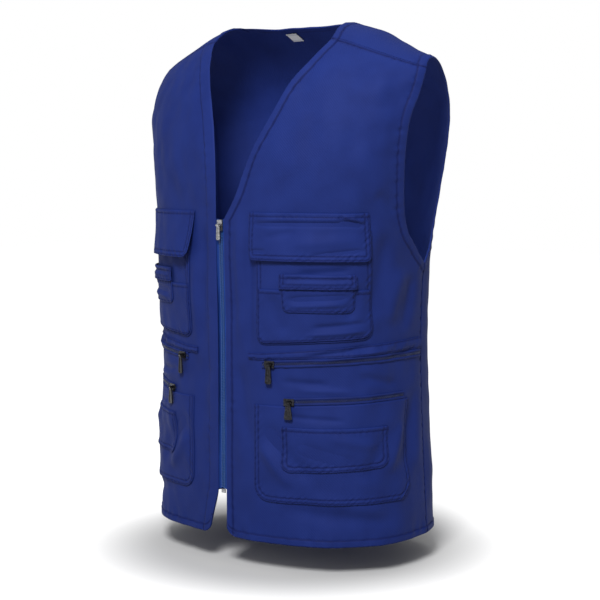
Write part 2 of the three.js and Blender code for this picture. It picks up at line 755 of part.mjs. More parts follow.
// Pockets
addPair("chest_pocket", patch(chestPocket, 0, chestPocket), twill);
add("left_chest_flap", patch(chestFlap, 1, chestPocket, leftFlapLift, 1), twill());
const rightFlap = patch(chestFlap, 1, chestPocket, rightFlapLift, 1);
add("right_chest_flap", mirrorImage(rightFlap), twill());
addPair("chest_outer_patch", patch(outerPatch, 1, chestPocket, noLift, 3), twill);
addPair("small_pocket", patch(smallPocket, 2, chestPocket, noLift, 1), twill);
addPair("small_flap", patch(smallFlap, 3, chestPocket, smallFlapLift, 1), twill);
addPair("waist_welt", waistBand(), twill);
addPair("waist_zip", pocketZip(waistZip), tape);
addPair("lower_pocket", patch(lowerPocket, 0, lowerPocket), twill);
addPair("lower_zip", pocketZip(lowerZip), tape);
addPair("lower_small_pocket", patch(lowerSmallPocket, 1, lowerPocket, noLift, 2), twill);

// Sliders and pulls of the pocket zips
const onZip = stack(0) + zipTape + teethRise + seamGap;
for (const [side, sideName] of sideNames) {
  for (const [name, zip, pull] of [["waist", waistZip, waistPull], ["lower", lowerZip, lowerPull]]) {
    const depth = zipLine(zip, pull.at);
    const body = geometryOf(sliderBody(plate.along, plate.across));
    const slider = add(`${sideName}_${name}_zip_slider`, body, metal());
    placed(slider, side * pull.at, depth, onZip);
    const tab = add(`${sideName}_${name}_zip_pull`, geometryOf(pullBody(pull)), metal());
    placed(tab, side * pull.at, depth, onZip + barOut);
  }
}

// Main zip
addPair("main_zip_tape", mainTapeStrip(), tape);
addPair("main_zip_teeth", mainTeethStrip(), tape);
const onTeeth = teethRise + seamGap;
const mainSlider = add("main_zip_slider", geometryOf(mainSliderBody()), metal());
placed(mainSlider, 0, sliderDepth, onTeeth);
const mainTab = add("main_zip_pull", geometryOf(pullBody(mainPull)), metal());
placed(mainTab, 0, sliderDepth, onTeeth + barOut);
const stopBox = new THREE.BoxGeometry(2 * mainTeeth, teethRise + mainTeethDepth, stopHeight);
const stop = add("main_zip_stop", stopBox, metal());
placed(stop, 0, zipEnd + seamGap + stopHeight / 2, (teethRise - mainTeethDepth) / 2);

export default vest;
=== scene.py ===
import json
import math
import bpy
import numpy as np
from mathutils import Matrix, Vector

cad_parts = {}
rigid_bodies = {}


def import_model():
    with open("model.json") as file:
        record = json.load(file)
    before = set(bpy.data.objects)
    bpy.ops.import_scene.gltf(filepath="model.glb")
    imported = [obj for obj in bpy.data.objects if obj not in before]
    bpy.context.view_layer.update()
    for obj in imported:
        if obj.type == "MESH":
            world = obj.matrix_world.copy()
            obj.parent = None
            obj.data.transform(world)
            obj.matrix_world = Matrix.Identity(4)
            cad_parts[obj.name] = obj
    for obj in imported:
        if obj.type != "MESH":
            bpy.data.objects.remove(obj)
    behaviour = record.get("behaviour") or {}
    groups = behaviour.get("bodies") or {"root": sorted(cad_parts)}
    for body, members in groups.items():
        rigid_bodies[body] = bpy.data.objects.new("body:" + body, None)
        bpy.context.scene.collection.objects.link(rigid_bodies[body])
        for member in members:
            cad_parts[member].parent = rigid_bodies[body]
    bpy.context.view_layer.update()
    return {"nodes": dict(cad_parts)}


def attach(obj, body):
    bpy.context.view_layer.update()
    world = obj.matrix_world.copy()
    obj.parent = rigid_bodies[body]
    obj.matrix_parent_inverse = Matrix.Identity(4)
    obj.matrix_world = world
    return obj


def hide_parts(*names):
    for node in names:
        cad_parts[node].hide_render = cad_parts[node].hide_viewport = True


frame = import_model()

# Utility work vest. Lengths in the dictionaries are millimetres, +X is the wearer's left and
# the front faces -Y. Most points are given as a girth from the middle of the front and a
# depth below the top of the shoulders. In the functions side is 1 for the wearer's left and
# -1 for the right, s is the girth, d the depth, and level runs from 0 at the hem to 1.

# Camera
# metres and degrees. Azimuth 0 looks from -Y and 90 from +X
camera = {"aim": (0.006, 0.005, -0.348), "distance": 2.092, "azimuth": 40, "elevation": 5.3,
          "lens": 91, "sensor": 36, "farthest": 50}


# unit vector from the vest towards a place at this azimuth and elevation
def outTo(azimuth, elevation):
    a, e = math.radians(azimuth), math.radians(elevation)
    return Vector((math.sin(a) * math.cos(e), -math.cos(a) * math.cos(e), math.sin(e)))


# a camera or lamp looks along its own -Z
def setUp(name, data, place, facing):
    obj = bpy.data.objects.new(name, data)
    obj.location = place
    obj.rotation_euler = facing.to_track_quat("-Z", "Y").to_euler()
    bpy.context.collection.objects.link(obj)
    return obj


def placeCamera():
    data = bpy.data.cameras.new("camera")
    data.lens = camera["lens"]
    data.sensor_width = camera["sensor"]
    data.clip_end = camera["farthest"]
    away = outTo(camera["azimuth"], camera["elevation"])
    place = Vector(camera["aim"]) + away * camera["distance"]
    bpy.context.scene.camera = setUp("camera", data, place, -away)


placeCamera()
print("camera placed")

# Shape of the body
body = {
    "length": 680, "seat": 30, "halfWidth": 194, "front": 145, "back": 138, "shoulder": 204,
    "slope": 0.44, "neck": 100, "neckBlend": 30, "slopeFade": 1.7, "backNeck": 34,
    "round": 2.35, "arch": 2.6, "armhole": 320, "vee": 262, "opening": 7, "yoke": 24,
    "slit": 62, "slitSpread": 13, "side": 12, "hemCorner": 16, "cloth": 1.5, "layer": 1.2, "gap": 0.3,
}
sections = {
    "level": [0, 0.2, 0.4, 0.6, 0.72, 0.85, 1],
    "width": [1.04, 1, 0.98, 1.02, 1.1, 1.18, 1.2],
    "front": [1, 1, 1, 1.02, 1, 0.92, 0.8],
    "back": [1.02, 1, 0.98, 1.02, 1.08, 1.06, 0.95],
}
armhole = {
    "share": [0, 0.04, 0.09, 0.15, 0.24, 0.35, 0.48, 0.63, 0.77, 0.9, 1],
    "front": [-12, -6, -1, 3, 6.5, 9.5, 12, 13.5, 11, 10, 12],
    "backLeft": [12, 18, 23, 26.5, 29, 30, 30, 28, 24, 19, 12],
    "backRight": [12, 13, 14, 14.5, 15, 16.5, 18.5, 19.5, 19, 17, 12],
}
neckline = {
    "share": [0, 0.1, 0.22, 0.35, 0.5, 0.65, 0.8, 0.91, 1],
    "left": [0.07, 0.24, 0.36, 0.5, 0.7, 0.86, 1.04, 1.12, 1],
    "right": [0.07, 0.075, 0.09, 0.14, 0.27, 0.46, 0.7, 0.9, 0.96],
}
length = body["length"]
shoulderLevel = 1 - body["shoulder"] / length
armLevel = 1 - body["armhole"] / length
vLevel = 1 - body["vee"] / length
yokeLevel = 1 - body["yoke"] / length


# smooth curve through a table: cubic pieces, each row's slope is that between its neighbours
def blend(table, key, name, at):
    xs, ys = np.asarray(table[key], float), np.asarray(table[name], float)
    x = np.clip(at, xs[0], xs[-1])
    i = np.clip(np.searchsorted(xs, x, side="left") - 1, 0, len(xs) - 2)
    before = np.maximum(np.arange(len(xs)) - 1, 0)
    after = np.minimum(np.arange(len(xs)) + 1, len(xs) - 1)
    slope = (ys[after] - ys[before]) / (xs[after] - xs[before])
    span = xs[i + 1] - xs[i]
    t = (x - xs[i]) / span
    rise = t * t * (3 - 2 * t)
    bend = span * t * (1 - t) * (slope[i] * (1 - t) - slope[i + 1] * t)
    return ys[i] * (1 - rise) + ys[i + 1] * rise + bend


# inner face of the cloth: each level is a superellipse, arched in to the shoulder line.
# turn: 0 wearer's left, 90 back, 270 front. reach: 0 hem, 1 shoulder line, above 1 over it
def bodyPoint(turn, reach):
    turn, reach = np.broadcast_arrays(np.asarray(turn, float), np.asarray(reach, float))
    over = reach > 1
    level = np.where(over, 2 - reach, reach)
    angle = np.radians(np.where(over, -turn, turn))
    c, s = np.cos(angle), np.sin(angle)
    power = 2 / body["round"]
    q = np.clip((level - shoulderLevel) / (1 - shoulderLevel), 0, 1)
    arch = np.sqrt(np.maximum(0, 1 - q ** body["arch"]))
    front = body["front"] * blend(sections, "level", "front", level)
    back = body["back"] * blend(sections, "level", "back", level)
    x = body["halfWidth"] * blend(sections, "level", "width", level) * np.sign(c) * np.abs(c) ** power
    y = np.where(s < 0, front, back) * arch * np.sign(s) * np.abs(s) ** power
    out = np.abs(x) - body["neck"]
    drop = body["slope"] * 0.5 * (out + np.hypot(out, body["neckBlend"]))
    z = body["seat"] - (1 - level) * length - drop * q ** body["slopeFade"]
    return np.stack([x, y, z], -1)


# vectors cut to length 1
def unit(v):
    return v / np.maximum(np.linalg.norm(v, axis=-1, keepdims=True), 1e-9)


# outward direction, from small steps round and up
def bodyNormal(turn, reach):
    across = bodyPoint(turn + 0.4, reach) - bodyPoint(turn - 0.4, reach)
    up = bodyPoint(turn, reach + 0.004) - bodyPoint(turn, reach - 0.004)
    return unit(np.cross(across, up))


# a point of the body moved out by an offset
def onBody(turn, reach, offset):
    return bodyPoint(turn, reach) + bodyNormal(turn, reach) * np.asarray(offset)[..., None]


# girth round each level, and the turn at each whole millimetre of girth
levelSteps = 400
turnSteps = 2  # to a degree
widestGirth = 560
turnGrid = np.linspace(0, 180, 180 * turnSteps + 1)
ringPoints = bodyPoint(270 + turnGrid[None, :], np.linspace(0, 1, levelSteps + 1)[:, None])[..., :2]
ringSteps = np.linalg.norm(np.diff(ringPoints, axis=1), axis=-1)
girthTable = np.concatenate([np.zeros((levelSteps + 1, 1)), np.cumsum(ringSteps, 1)], 1)
girthGrid = np.arange(0.0, widestGirth + 1)
turnTable = np.stack([np.interp(girthGrid, row, turnGrid) for row in girthTable])


# value of a table between its rows and columns
def lookUp(table, row, column):
    r = np.clip(row, 0, table.shape[0] - 1.001)
    c = np.clip(column, 0, table.shape[1] - 1.001)
    i, j = r.astype(int), c.astype(int)
    u, v = r - i, c - j
    low = table[i, j] * (1 - v) + table[i, j + 1] * v
    high = table[i + 1, j] * (1 - v) + table[i + 1, j + 1] * v
    return low * (1 - u) + high * u


# turn at a girth, which is negative on the wearer's right
def turnAt(girth, level):
    girth, level = np.broadcast_arrays(np.asarray(girth, float), np.asarray(level, float))
    turn = lookUp(turnTable, level * levelSteps, np.abs(girth))
    return np.where(girth < 0, 270 - turn, 270 + turn)


# girth at a turn, counted from the middle of the front to either side
def girthAt(turn, level):
    turn, level = np.broadcast_arrays(np.asarray(turn, float), np.asarray(level, float))
    return lookUp(girthTable, level * levelSteps, np.abs(turn - 270) * turnSteps)


# turn of the cloth's outer edge: the side seam up to the armhole, then the armhole's table
def edgeTurn(reach, part):
    reach = np.asarray(reach, float)
    share = (np.where(reach > 1, 2 - reach, reach) - armLevel) / (1 - armLevel)
    front = blend(armhole, "share", "front", share)
    turn = np.where(reach > 1, front, blend(armhole, "share", part, share))
    return np.where(reach <= armLevel, -body["side"] if part == "front" else body["side"], turn)


# girth of a front's outer edge
def outerGirth(level):
    return girthAt(360 - edgeTurn(level, "front"), level)


# girth of a front's inner edge: the opening, wider at the slit in the hem, and the V above it
def innerGirth(side, level):
    level = np.asarray(level, float)
    slit = np.maximum(0, 1 - level * length / body["slit"])
    low = body["opening"] + (body["slitSpread"] * slit if side < 0 else 0 * slit)
    share = (level - vLevel) / (1 - vLevel)
    wide = body["neck"] * blend(neckline, "share", "left" if side > 0 else "right", share)
    return np.where(level < vLevel, low, np.maximum(body["opening"], wide))


# how far the hem rises, a quarter circle at the inner corner
def hemLevel(side, girth):
    r = body["hemCorner"]
    start = np.clip(girth - innerGirth(side, 0.0), 0, r)
    return (r - np.sqrt(r ** 2 - (r - start) ** 2)) / length


# turn of the neck's edge, up the front and over the shoulder
def neckTurn(side, reach):
    level = np.where(reach > 1, 2 - reach, reach)
    share = np.where(reach > 1, np.maximum(0, (level - vLevel) / (1 - vLevel)), 1)
    wide = blend(neckline, "share", "left" if side > 0 else "right", share)
    half = body["halfWidth"] * blend(sections, "level", "width", level)
    return np.degrees(np.arccos(np.minimum(1, body["neck"] * wide / half) ** (body["round"] / 2)))


# level of the back's neck edge, half an ellipse from shoulder to shoulder
def backNeckLevel(x):
    half = body["neck"] * np.where(x < 0, neckline["right"][-1], neckline["left"][-1])
    share = np.maximum(0, 1 - (x / half) ** 2)
    depth = body["back"] * sections["back"][-1]
    q = (1 - (body["backNeck"] / depth) ** 2 * share) ** (1 / body["arch"])
    return shoulderLevel + (1 - shoulderLevel) * q


# Folds and puckers
# sum of sines of about one length, in seeded phases
def ripple(t, size, seed, parts=5):
    rng = np.random.default_rng(seed)
    k = 2 * np.pi / (size * rng.uniform(0.7, 1.6, parts))
    return np.sin(np.asarray(t)[..., None] * k + rng.uniform(0, 6.28, parts)).sum(-1) / math.sqrt(parts)


# the same in two directions, the crests near one angle
def rumple(s, d, size, angle, spread, seed, parts=7):
    rng = np.random.default_rng(seed)
    a = np.radians(angle + rng.uniform(-spread, spread, parts))
    k = 2 * np.pi / (size * rng.uniform(0.6, 1.7, parts))
    t = s[..., None] * np.cos(a) + d[..., None] * np.sin(a)
    return np.sin(t * k + rng.uniform(0, 6.28, parts)).sum(-1) / math.sqrt(parts)


# ridges along straight lines, a bell across each and fading to its ends. A row gives the side
# (0 for both), the start and the end as girth and depth, the width and the height
def folds(rows, side, s, d):
    total = np.zeros(np.broadcast(s, d).shape)
    for onSide, *ends, width, height in rows:
        if onSide not in (0, side):
            continue
        p, q = np.array(ends[:2], float), np.array(ends[2:], float)
        run = np.linalg.norm(q - p)
        along = (q - p) / run
        t = ((s - p[0]) * along[0] + (d - p[1]) * along[1]) / run
        w = ((s - p[0]) * along[1] - (d - p[1]) * along[0]) / width
        fade = np.clip(t * 4, 0, 1) * np.clip((1 - t) * 4, 0, 1)
        total += height * np.exp(-w ** 2) * fade * fade * (3 - 2 * fade)
    return total


# the folds of the fronts, shared by all that is sewn on them
frontFolds = [
    (1, 46, 250, 47, 440, 6, -4.4),
    (1, 32, 240, 33, 440, 8, 2.9),
    (-1, 30, 250, 36, 440, 9, -4.4),
    (-1, 48, 300, 50, 430, 7, 2.3),
    (0, 238, 270, 205, 400, 13, -3.9),
    (0, 262, 320, 236, 400, 12, 3.9),
    (0, 286, 330, 264, 410, 9, -3.1),
    (0, 118, 436, 222, 421, 3.2, -2.5),
    (0, 126, 443, 236, 428, 3.2, 2.2),
    (0, 230, 440, 300, 428, 3.6, -2),
    (0, 88, 468, 160, 471, 4.5, -2.6),
    (0, 110, 478, 190, 480, 3.6, 1.8),
    (0, 190, 460, 256, 476, 6, -2.9),
    (0, 26, 440, 44, 560, 10, -3.1),
    (0, 292, 470, 262, 600, 13, -4.2),
    (0, 316, 450, 296, 600, 12, 3.1),
    (0, 90, 632, 250, 652, 9, -2.1),
    (0, 120, 612, 240, 640, 10, 2.1),
    (0, 60, 150, 170, 240, 26, 2.1),
    (0, 150, 80, 240, 210, 24, -2.3),
    (0, 214, 225, 262, 262, 9, -2.6),
]
# places that the folds leave alone, where hard pieces stand
calmSpots = {"girth": [77, 104, 0], "depth": [447, 492, 270], "radius": [17, 17, 26]}
drapeFade = {"frontEdge": 4, "front": 25, "seams": 22}


# 1 away from the calm spots and 0 in them, one bell for each
def calm(s, d):
    keep = np.ones(np.broadcast(s, d).shape)
    for girth, depth, radius in zip(*calmSpots.values()):
        keep = keep * (1 - np.exp(-((s - girth) ** 2 + (d - depth) ** 2) / radius ** 2))
    return keep


# how a front hangs: a broad rumple, a finer one and the folds, all fading to its edges
def drape(side, s, d):
    broad = 1.2 * rumple(s, d, 90, 20, 50, 11 + side) + 0.5 * rumple(s, d, 38, 30, 60, 17 + side)
    level = np.clip(1 - d / length, 0, 1)
    toSeams = np.minimum(outerGirth(level) - s, (yokeLevel - level) * length) / drapeFade["seams"]
    toFront = (s - drapeFade["frontEdge"]) / drapeFade["front"]
    fade = np.clip(np.minimum(toFront, toSeams), 0, 1)
    return (broad + folds(frontFolds, side, s, d)) * calm(s, d) * fade


# a stitched line pulls a groove, and puckers fade away from it
def seamed(e, line, along, seed, deep, pucker, size, reach):
    groove = -1.3 * deep * np.exp(-(e - line) ** 2)
    return groove + 1.6 * pucker * ripple(along, size, seed) * np.exp(-np.abs(e - line) / reach)


# quarter circle that brings an edge down over a distance
def rolled(e, radius):
    return np.sqrt(np.maximum(0, 1 - np.clip(1 - e / radius, 0, 1) ** 2))


# Mesh helpers
millimetre = 0.001  # in metres
sharpFrom = 55  # degrees


# one mesh from all its points and faces, on the vest body. Points that no face uses are dropped
def addObject(name, verts, quads, material, uv=None, paintedSeamShade=None):
    used, quads = np.unique(quads, return_inverse=True)
    quads = quads.reshape(-1, 4)
    mesh = bpy.data.meshes.new(name)
    mesh.vertices.add(len(used))
    places = verts.reshape(-1, 3)[used] * millimetre
    mesh.vertices.foreach_set("co", places.astype(np.float32).ravel())
    mesh.loops.add(quads.size)
    mesh.loops.foreach_set("vertex_index", quads.astype(np.int32).ravel())
    mesh.polygons.add(len(quads))
    mesh.polygons.foreach_set("loop_start", np.arange(0, quads.size, 4, dtype=np.int32))
    mesh.polygons.foreach_set("use_smooth", np.ones(len(quads), bool))
    mesh.update(calc_edges=True)
    mesh.validate()
    if uv is not None:
        layer = mesh.uv_layers.new(name="cloth")
        corners = uv.reshape(-1, 2)[used][quads.ravel()] * millimetre
        layer.data.foreach_set("uv", corners.astype(np.float32).ravel())
    # the painted shade along seams goes on as a point attribute
    if paintedSeamShade is not None:
        layer = mesh.attributes.new("paintedSeamShade", "FLOAT", "POINT")
        layer.data.foreach_set("value", paintedSeamShade.ravel()[used].astype(np.float32))
    mesh.set_sharp_from_angle(angle=math.radians(sharpFrom))
    mesh.materials.append(material)
    obj = bpy.data.objects.new(name, mesh)
    bpy.context.collection.objects.link(obj)
    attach(obj, "vest")
    return obj


# two faces of a sheet, and walls round every edge of the cells that are kept
def closedSheet(name, outer, inner, material, uv, paintedSeamShade, side=1, cells=None):
    if side < 0:
        outer, inner, uv, paintedSeamShade = outer[:, ::-1], inner[:, ::-1], uv[:, ::-1], paintedSeamShade[:, ::-1]
    rows, columns = outer.shape[:2]
    n = rows * columns
    ids = np.arange(n).reshape(rows, columns)
    cells = np.ones((rows - 1, columns - 1), bool) if cells is None else cells
    a, b, c, d = ids[:-1, :-1], ids[:-1, 1:], ids[1:, 1:], ids[1:, :-1]
    pad = np.pad(cells, 1)
    quads = [np.stack([a, b, c, d], -1)[cells], np.stack([d, c, b, a], -1)[cells] + n]
    around = ((a, b, pad[:-2, 1:-1]), (b, c, pad[1:-1, 2:]),
              (c, d, pad[2:, 1:-1]), (d, a, pad[1:-1, :-2]))
    for p, q, beyond in around:
        quads.append(np.stack([p + n, q + n, q, p], -1)[cells & ~beyond])
    verts = np.concatenate([outer.reshape(-1, 3), inner.reshape(-1, 3)])
    both = np.concatenate([uv.reshape(-1, 2)] * 2)
    # the painted seam shade, once for each face
    seams = np.concatenate([paintedSeamShade.ravel()] * 2)
    return addObject(name, verts, np.concatenate(quads), material, both, seams)


# a closed sheet on the body: its faces stand off along the normal by outer and inner
def layOn(name, side, turn, reach, faces, material, uv, cells=None):
    outer, inner, paintedSeamShade = faces
    base, normal = bodyPoint(turn, reach), bodyNormal(turn, reach)
    return closedSheet(name, base + normal * outer[..., None], base + normal * inner[..., None],
                       material, uv, paintedSeamShade, side, cells)


def sideName(side, label):
    return ("left_" if side > 0 else "right_") + label


# steps that are fine near both ends
def fineEnds(span, fine=1.0, coarse=2.6, border=24):
    edge = np.arange(0, border, fine)
    count = max(2, int((span - 2 * border) / coarse))
    return np.concatenate([edge, np.linspace(border, span - border, count), span - edge[::-1]])


# nearest distance from points to a curve, and how far along the curve that is
def nearest(points, curve):
    lengths = np.concatenate([[0], np.cumsum(np.linalg.norm(np.diff(curve, axis=0), axis=1))])
    flat = points.reshape(-1, 3)
    away, along = np.empty(len(flat)), np.empty(len(flat))
    for k in range(0, len(flat), 4000):
        gaps = np.linalg.norm(flat[k:k + 4000, None] - curve[None], axis=-1)
        at = gaps.argmin(1)
        away[k:k + 4000] = gaps[np.arange(len(at)), at]
        along[k:k + 4000] = lengths[at]
    return away.reshape(points.shape[:-1]), along.reshape(points.shape[:-1])


# Materials
# seamShade is the colour of the painted shade that darkens the cloth along stitches, seams and zip lips
looks = {
    "cloth": (0.006, 0.0178, 0.13), "clothDark": (0.0052, 0.0155, 0.116),
    "clothLight": (0.007, 0.0202, 0.143), "seamShade": (0.26, 0.32, 0.48),
    "thread": (0.008, 0.02, 0.13), "tape": (0.009, 0.036, 0.2), "teethBlue": (0.03, 0.1, 0.34),
    "teethDark": (0.014, 0.019, 0.05), "metal": (0.012, 0.012, 0.014), "silver": (0.3, 0.3, 0.31),
    "label": (0.72, 0.72, 0.72), "floor": (0.55, 0.55, 0.55),
}
weaving = {"pitch": 0.0009, "depth": 0.00012, "strength": 0.7, "worn": 28}  # metres, patches to a metre
clothFinish = {"Roughness": 0.72, "Sheen Weight": 0.03, "Sheen Roughness": 0.45,
               "Sheen Tint": (0.35, 0.45, 1, 1), "Specular IOR Level": 0.14}


def newMaterial(name):
    material = bpy.data.materials.new(name)
    material.use_nodes = True
    nodes, links = material.node_tree.nodes, material.node_tree.links
    return material, nodes, links, nodes["Principled BSDF"]


# values by socket name
def setInputs(node, values):
    for name, value in values.items():
        node.inputs[name].default_value = value


# colour ramp from its stops, each a place and a colour
def addShades(nodes, *stops):
    shades = nodes.new("ShaderNodeValToRGB")
    marks = shades.color_ramp.elements
    marks[0].position, marks[1].position = stops[0][0], stops[-1][0]
    for place, colour in stops[1:-1]:
        marks.new(place)
    for mark, (place, colour) in zip(marks, stops):
        mark.color = (*colour, 1)
    return shades


# first input times a factor plus the third
def multiplyAdd(nodes, factor):
    node = nodes.new("ShaderNodeMath")
    node.operation = "MULTIPLY_ADD"
    node.inputs[1].default_value = factor
    return node


# relief from a height output to a normal input
def addBump(nodes, links, height, normal, values):
    bump = nodes.new("ShaderNodeBump")
    setInputs(bump, values)
    links.new(height, bump.inputs["Height"])
    links.new(bump.outputs["Normal"], normal)


# twill weave from a cloth's own girth and height: slanted ribs crossed by fine threads
def makeWeave():
    group = bpy.data.node_groups.new("weave", "ShaderNodeTree")
    group.interface.new_socket("Vector", in_out="INPUT", socket_type="NodeSocketVector")
    group.interface.new_socket("Height", in_out="OUTPUT", socket_type="NodeSocketFloat")
    group.interface.new_socket("Wear", in_out="OUTPUT", socket_type="NodeSocketFloat")
    nodes, links = group.nodes, group.links
    source, sink = nodes.new("NodeGroupInput"), nodes.new("NodeGroupOutput")
    ribs = nodes.new("ShaderNodeTexWave")
    ribs.bands_direction = "DIAGONAL"
    setInputs(ribs, {"Scale": 0.16 / weaving["pitch"], "Distortion": 0.6, "Detail": 1})
    threads = nodes.new("ShaderNodeTexWave")
    threads.bands_direction = "X"
    setInputs(threads, {"Scale": 0.28 / weaving["pitch"]})
    woven = multiplyAdd(nodes, 0.35)
    patches = nodes.new("ShaderNodeTexNoise")
    setInputs(patches, {"Scale": weaving["worn"], "Detail": 5})
    for target in (ribs, threads, patches):
        links.new(source.outputs["Vector"], target.inputs["Vector"])
    links.new(threads.outputs["Fac"], woven.inputs[0])
    links.new(ribs.outputs["Fac"], woven.inputs[2])
    links.new(woven.outputs[0], sink.inputs["Height"])
    links.new(patches.outputs["Fac"], sink.inputs["Wear"])
    return group


weave = makeWeave()


# woven cloth: worn patches shift its colour, and an attribute of painted shade darkens it along the
# stitches, seams and zip lips
def makeTwill(name, dark, mid, light):
    material, nodes, links, shader = newMaterial(name)
    uv = nodes.new("ShaderNodeUVMap")
    uv.uv_map = "cloth"
    cloth = nodes.new("ShaderNodeGroup")
    cloth.node_tree = weave
    links.new(uv.outputs["UV"], cloth.inputs["Vector"])
    shades = addShades(nodes, (0.3, dark), (0.5, mid), (0.72, light))
    mixture = multiplyAdd(nodes, 0.1)
    links.new(cloth.outputs["Height"], mixture.inputs[0])
    links.new(cloth.outputs["Wear"], mixture.inputs[2])
    links.new(mixture.outputs[0], shades.inputs["Fac"])
    # painted shade: the seam attribute multiplies the weave's colour by seamShade
    paintedSeamShade = nodes.new("ShaderNodeAttribute")
    paintedSeamShade.attribute_name = "paintedSeamShade"
    shaded = nodes.new("ShaderNodeMix")
    shaded.data_type = "RGBA"
    shaded.blend_type = "MULTIPLY"
    shaded.inputs["B"].default_value = (*looks["seamShade"], 1)
    links.new(paintedSeamShade.outputs["Fac"], shaded.inputs["Factor"])
    links.new(shades.outputs["Color"], shaded.inputs["A"])
    links.new(shaded.outputs["Result"], shader.inputs["Base Color"])
    addBump(nodes, links, cloth.outputs["Height"], shader.inputs["Normal"],
            {"Distance": weaving["depth"], "Strength": weaving["strength"]})
    setInputs(shader, clothFinish)
    return material


# fine scratches and rubbed patches in object space, for metal, thread and plastic
def makePlain(name, dark, light, scale, metallic, roughness, spread, specular=0.5):
    material, nodes, links, shader = newMaterial(name)
    place = nodes.new("ShaderNodeTexCoord")
    noise = nodes.new("ShaderNodeTexNoise")
    setInputs(noise, {"Scale": scale, "Detail": 6})
    links.new(place.outputs["Object"], noise.inputs["Vector"])
    shades = addShades(nodes, (0.35, dark), (0.7, light))
    links.new(noise.outputs["Fac"], shades.inputs["Fac"])
    links.new(shades.outputs["Color"], shader.inputs["Base Color"])
    rough = nodes.new("ShaderNodeMapRange")
    setInputs(rough, {"To Min": roughness - spread, "To Max": roughness + spread})
    links.new(noise.outputs["Fac"], rough.inputs["Value"])
    links.new(rough.outputs["Result"], shader.inputs["Roughness"])
    addBump(nodes, links, noise.outputs["Fac"], shader.inputs["Normal"], {"Distance": 0.00005})
    setInputs(shader, {"Metallic": metallic, "Specular IOR Level": specular})
    return material


# a look made darker or lighter
def shade(look, factor):
    return tuple(c * factor for c in looks[look])


twill = makeTwill("blueTwill", looks["clothDark"], looks["cloth"], looks["clothLight"])
tapeCloth = makeTwill("zipTape", shade("tape", 0.75), looks["tape"], shade("tape", 1.25))
# painted shade: the pocket zips' tape is a darker copy of the cloth, for the shade in the zip's recess
shadedPocketTape = makeTwill("pocketZipTapePaintedShade", shade("cloth", 0.6), shade("cloth", 0.8), looks["cloth"])
labelCloth = makeTwill("labelWeave", shade("label", 0.85), looks["label"], shade("label", 1.1))
thread = makePlain("thread", shade("thread", 0.7), shade("thread", 1.2), 900, 0, 0.7, 0.1, 0.1)
teethBlue = makePlain("blueTeeth", shade("teethBlue", 0.8), looks["teethBlue"], 300, 0, 0.35, 0.1)
teethDark = makePlain("darkTeeth", looks["teethDark"], shade("teethDark", 2.4), 300, 0.3, 0.4, 0.1)
gunmetal = makePlain("gunmetal", shade("metal", 0.6), shade("metal", 3), 420, 0.8, 0.3, 0.1)
silver = makePlain("silver", shade("silver", 0.5), shade("silver", 1.4), 420, 0.9, 0.32, 0.12)
print("materials made")

# Sewing
# hem, arm and neck: how far in from those edges the stitches run. above: how far they lie off
# the cloth. The rolls are the radii of the edges, the shades the widths of the lines of painted
# shade along stitches, joining seams, pocket stitches and zip lips
sewing = {"hem": 9, "arm": 11, "neck": 9, "edgeRoll": 1.6, "above": 0.12, "stitchShade": 1.1,
          "joinShade": 1.6, "pocketShade": 0.9, "pocketRoll": 1.3, "lipShade": 1.6}
fineRows = 14  # rows of 1 mm at the hem
farOff = 99  # stands for the distance to an edge that isn't there
stitchPaths = {1: [], -1: []}  # runs of stitches by side, made at the end


# all sewn lines of a panel: the sum of their reliefs, and how much painted shade each point gets along
# them.
# A row gives what seamed takes, then the width of its painted shade
def sewnLines(rows):
    relief = sum(seamed(*row[:-1]) for row in rows)
    paintedSeamShade = sum(np.exp(-((e - line) / wide) ** 2) for e, line, *_, wide in rows)
    return relief, np.clip(paintedSeamShade, 0, 1)


# extra thickness of the cloth that is turned in, up to its row of stitches
def turnedBand(thick, *beyond):
    return thick * (1 - np.clip((np.minimum.reduce(beyond) + 1) / 2, 0, 1))


# outer and inner face of a panel, brought together at its borders by the rolled edge
def panelFaces(low, thick, relief, borders):
    roll = rolled(np.maximum(borders, 0), sewing["edgeRoll"])
    outer = low + thick * (0.5 + 0.5 * roll) + relief * np.clip(borders / 2, 0, 1)
    return outer, low + thick * 0.5 * (1 - roll)


# armhole edge in space: up the front, over the yoke and down the back
def armCurve(side):
    front = np.linspace(armLevel, 1, 260)
    back = front[::-1]
    f = bodyPoint(360 - edgeTurn(front, "front"), front)
    b = bodyPoint(edgeTurn(back, "backLeft" if side > 0 else "backRight"), back)
    return np.concatenate([f, b[1:]]) * np.array([side, 1, 1])


# keeps the line of a run of stitches, with the surface's own direction at each point
def keepStitches(side, turn, reach, above):
    normal = bodyNormal(turn, reach)
    stitchPaths[side].append((onBody(turn, reach, above), normal))


# a run of stitches on a piece of the front, just above its outer face
def addStitches(side, s, level, height):
    s, level = np.broadcast_arrays(np.asarray(s, float), np.asarray(level, float))
    outer = height(side, s, level)[0]
    keepStitches(side, turnAt(side * s, level), level, outer + sewing["above"])


# Front panels
frontPanel = {"turned": 1.3, "veeStitch": {1: 10, -1: 17}, "rowStep": 2.3, "tuck": 0.3,
              "across": 240, "fineEdge": 24, "hemFade": 60}
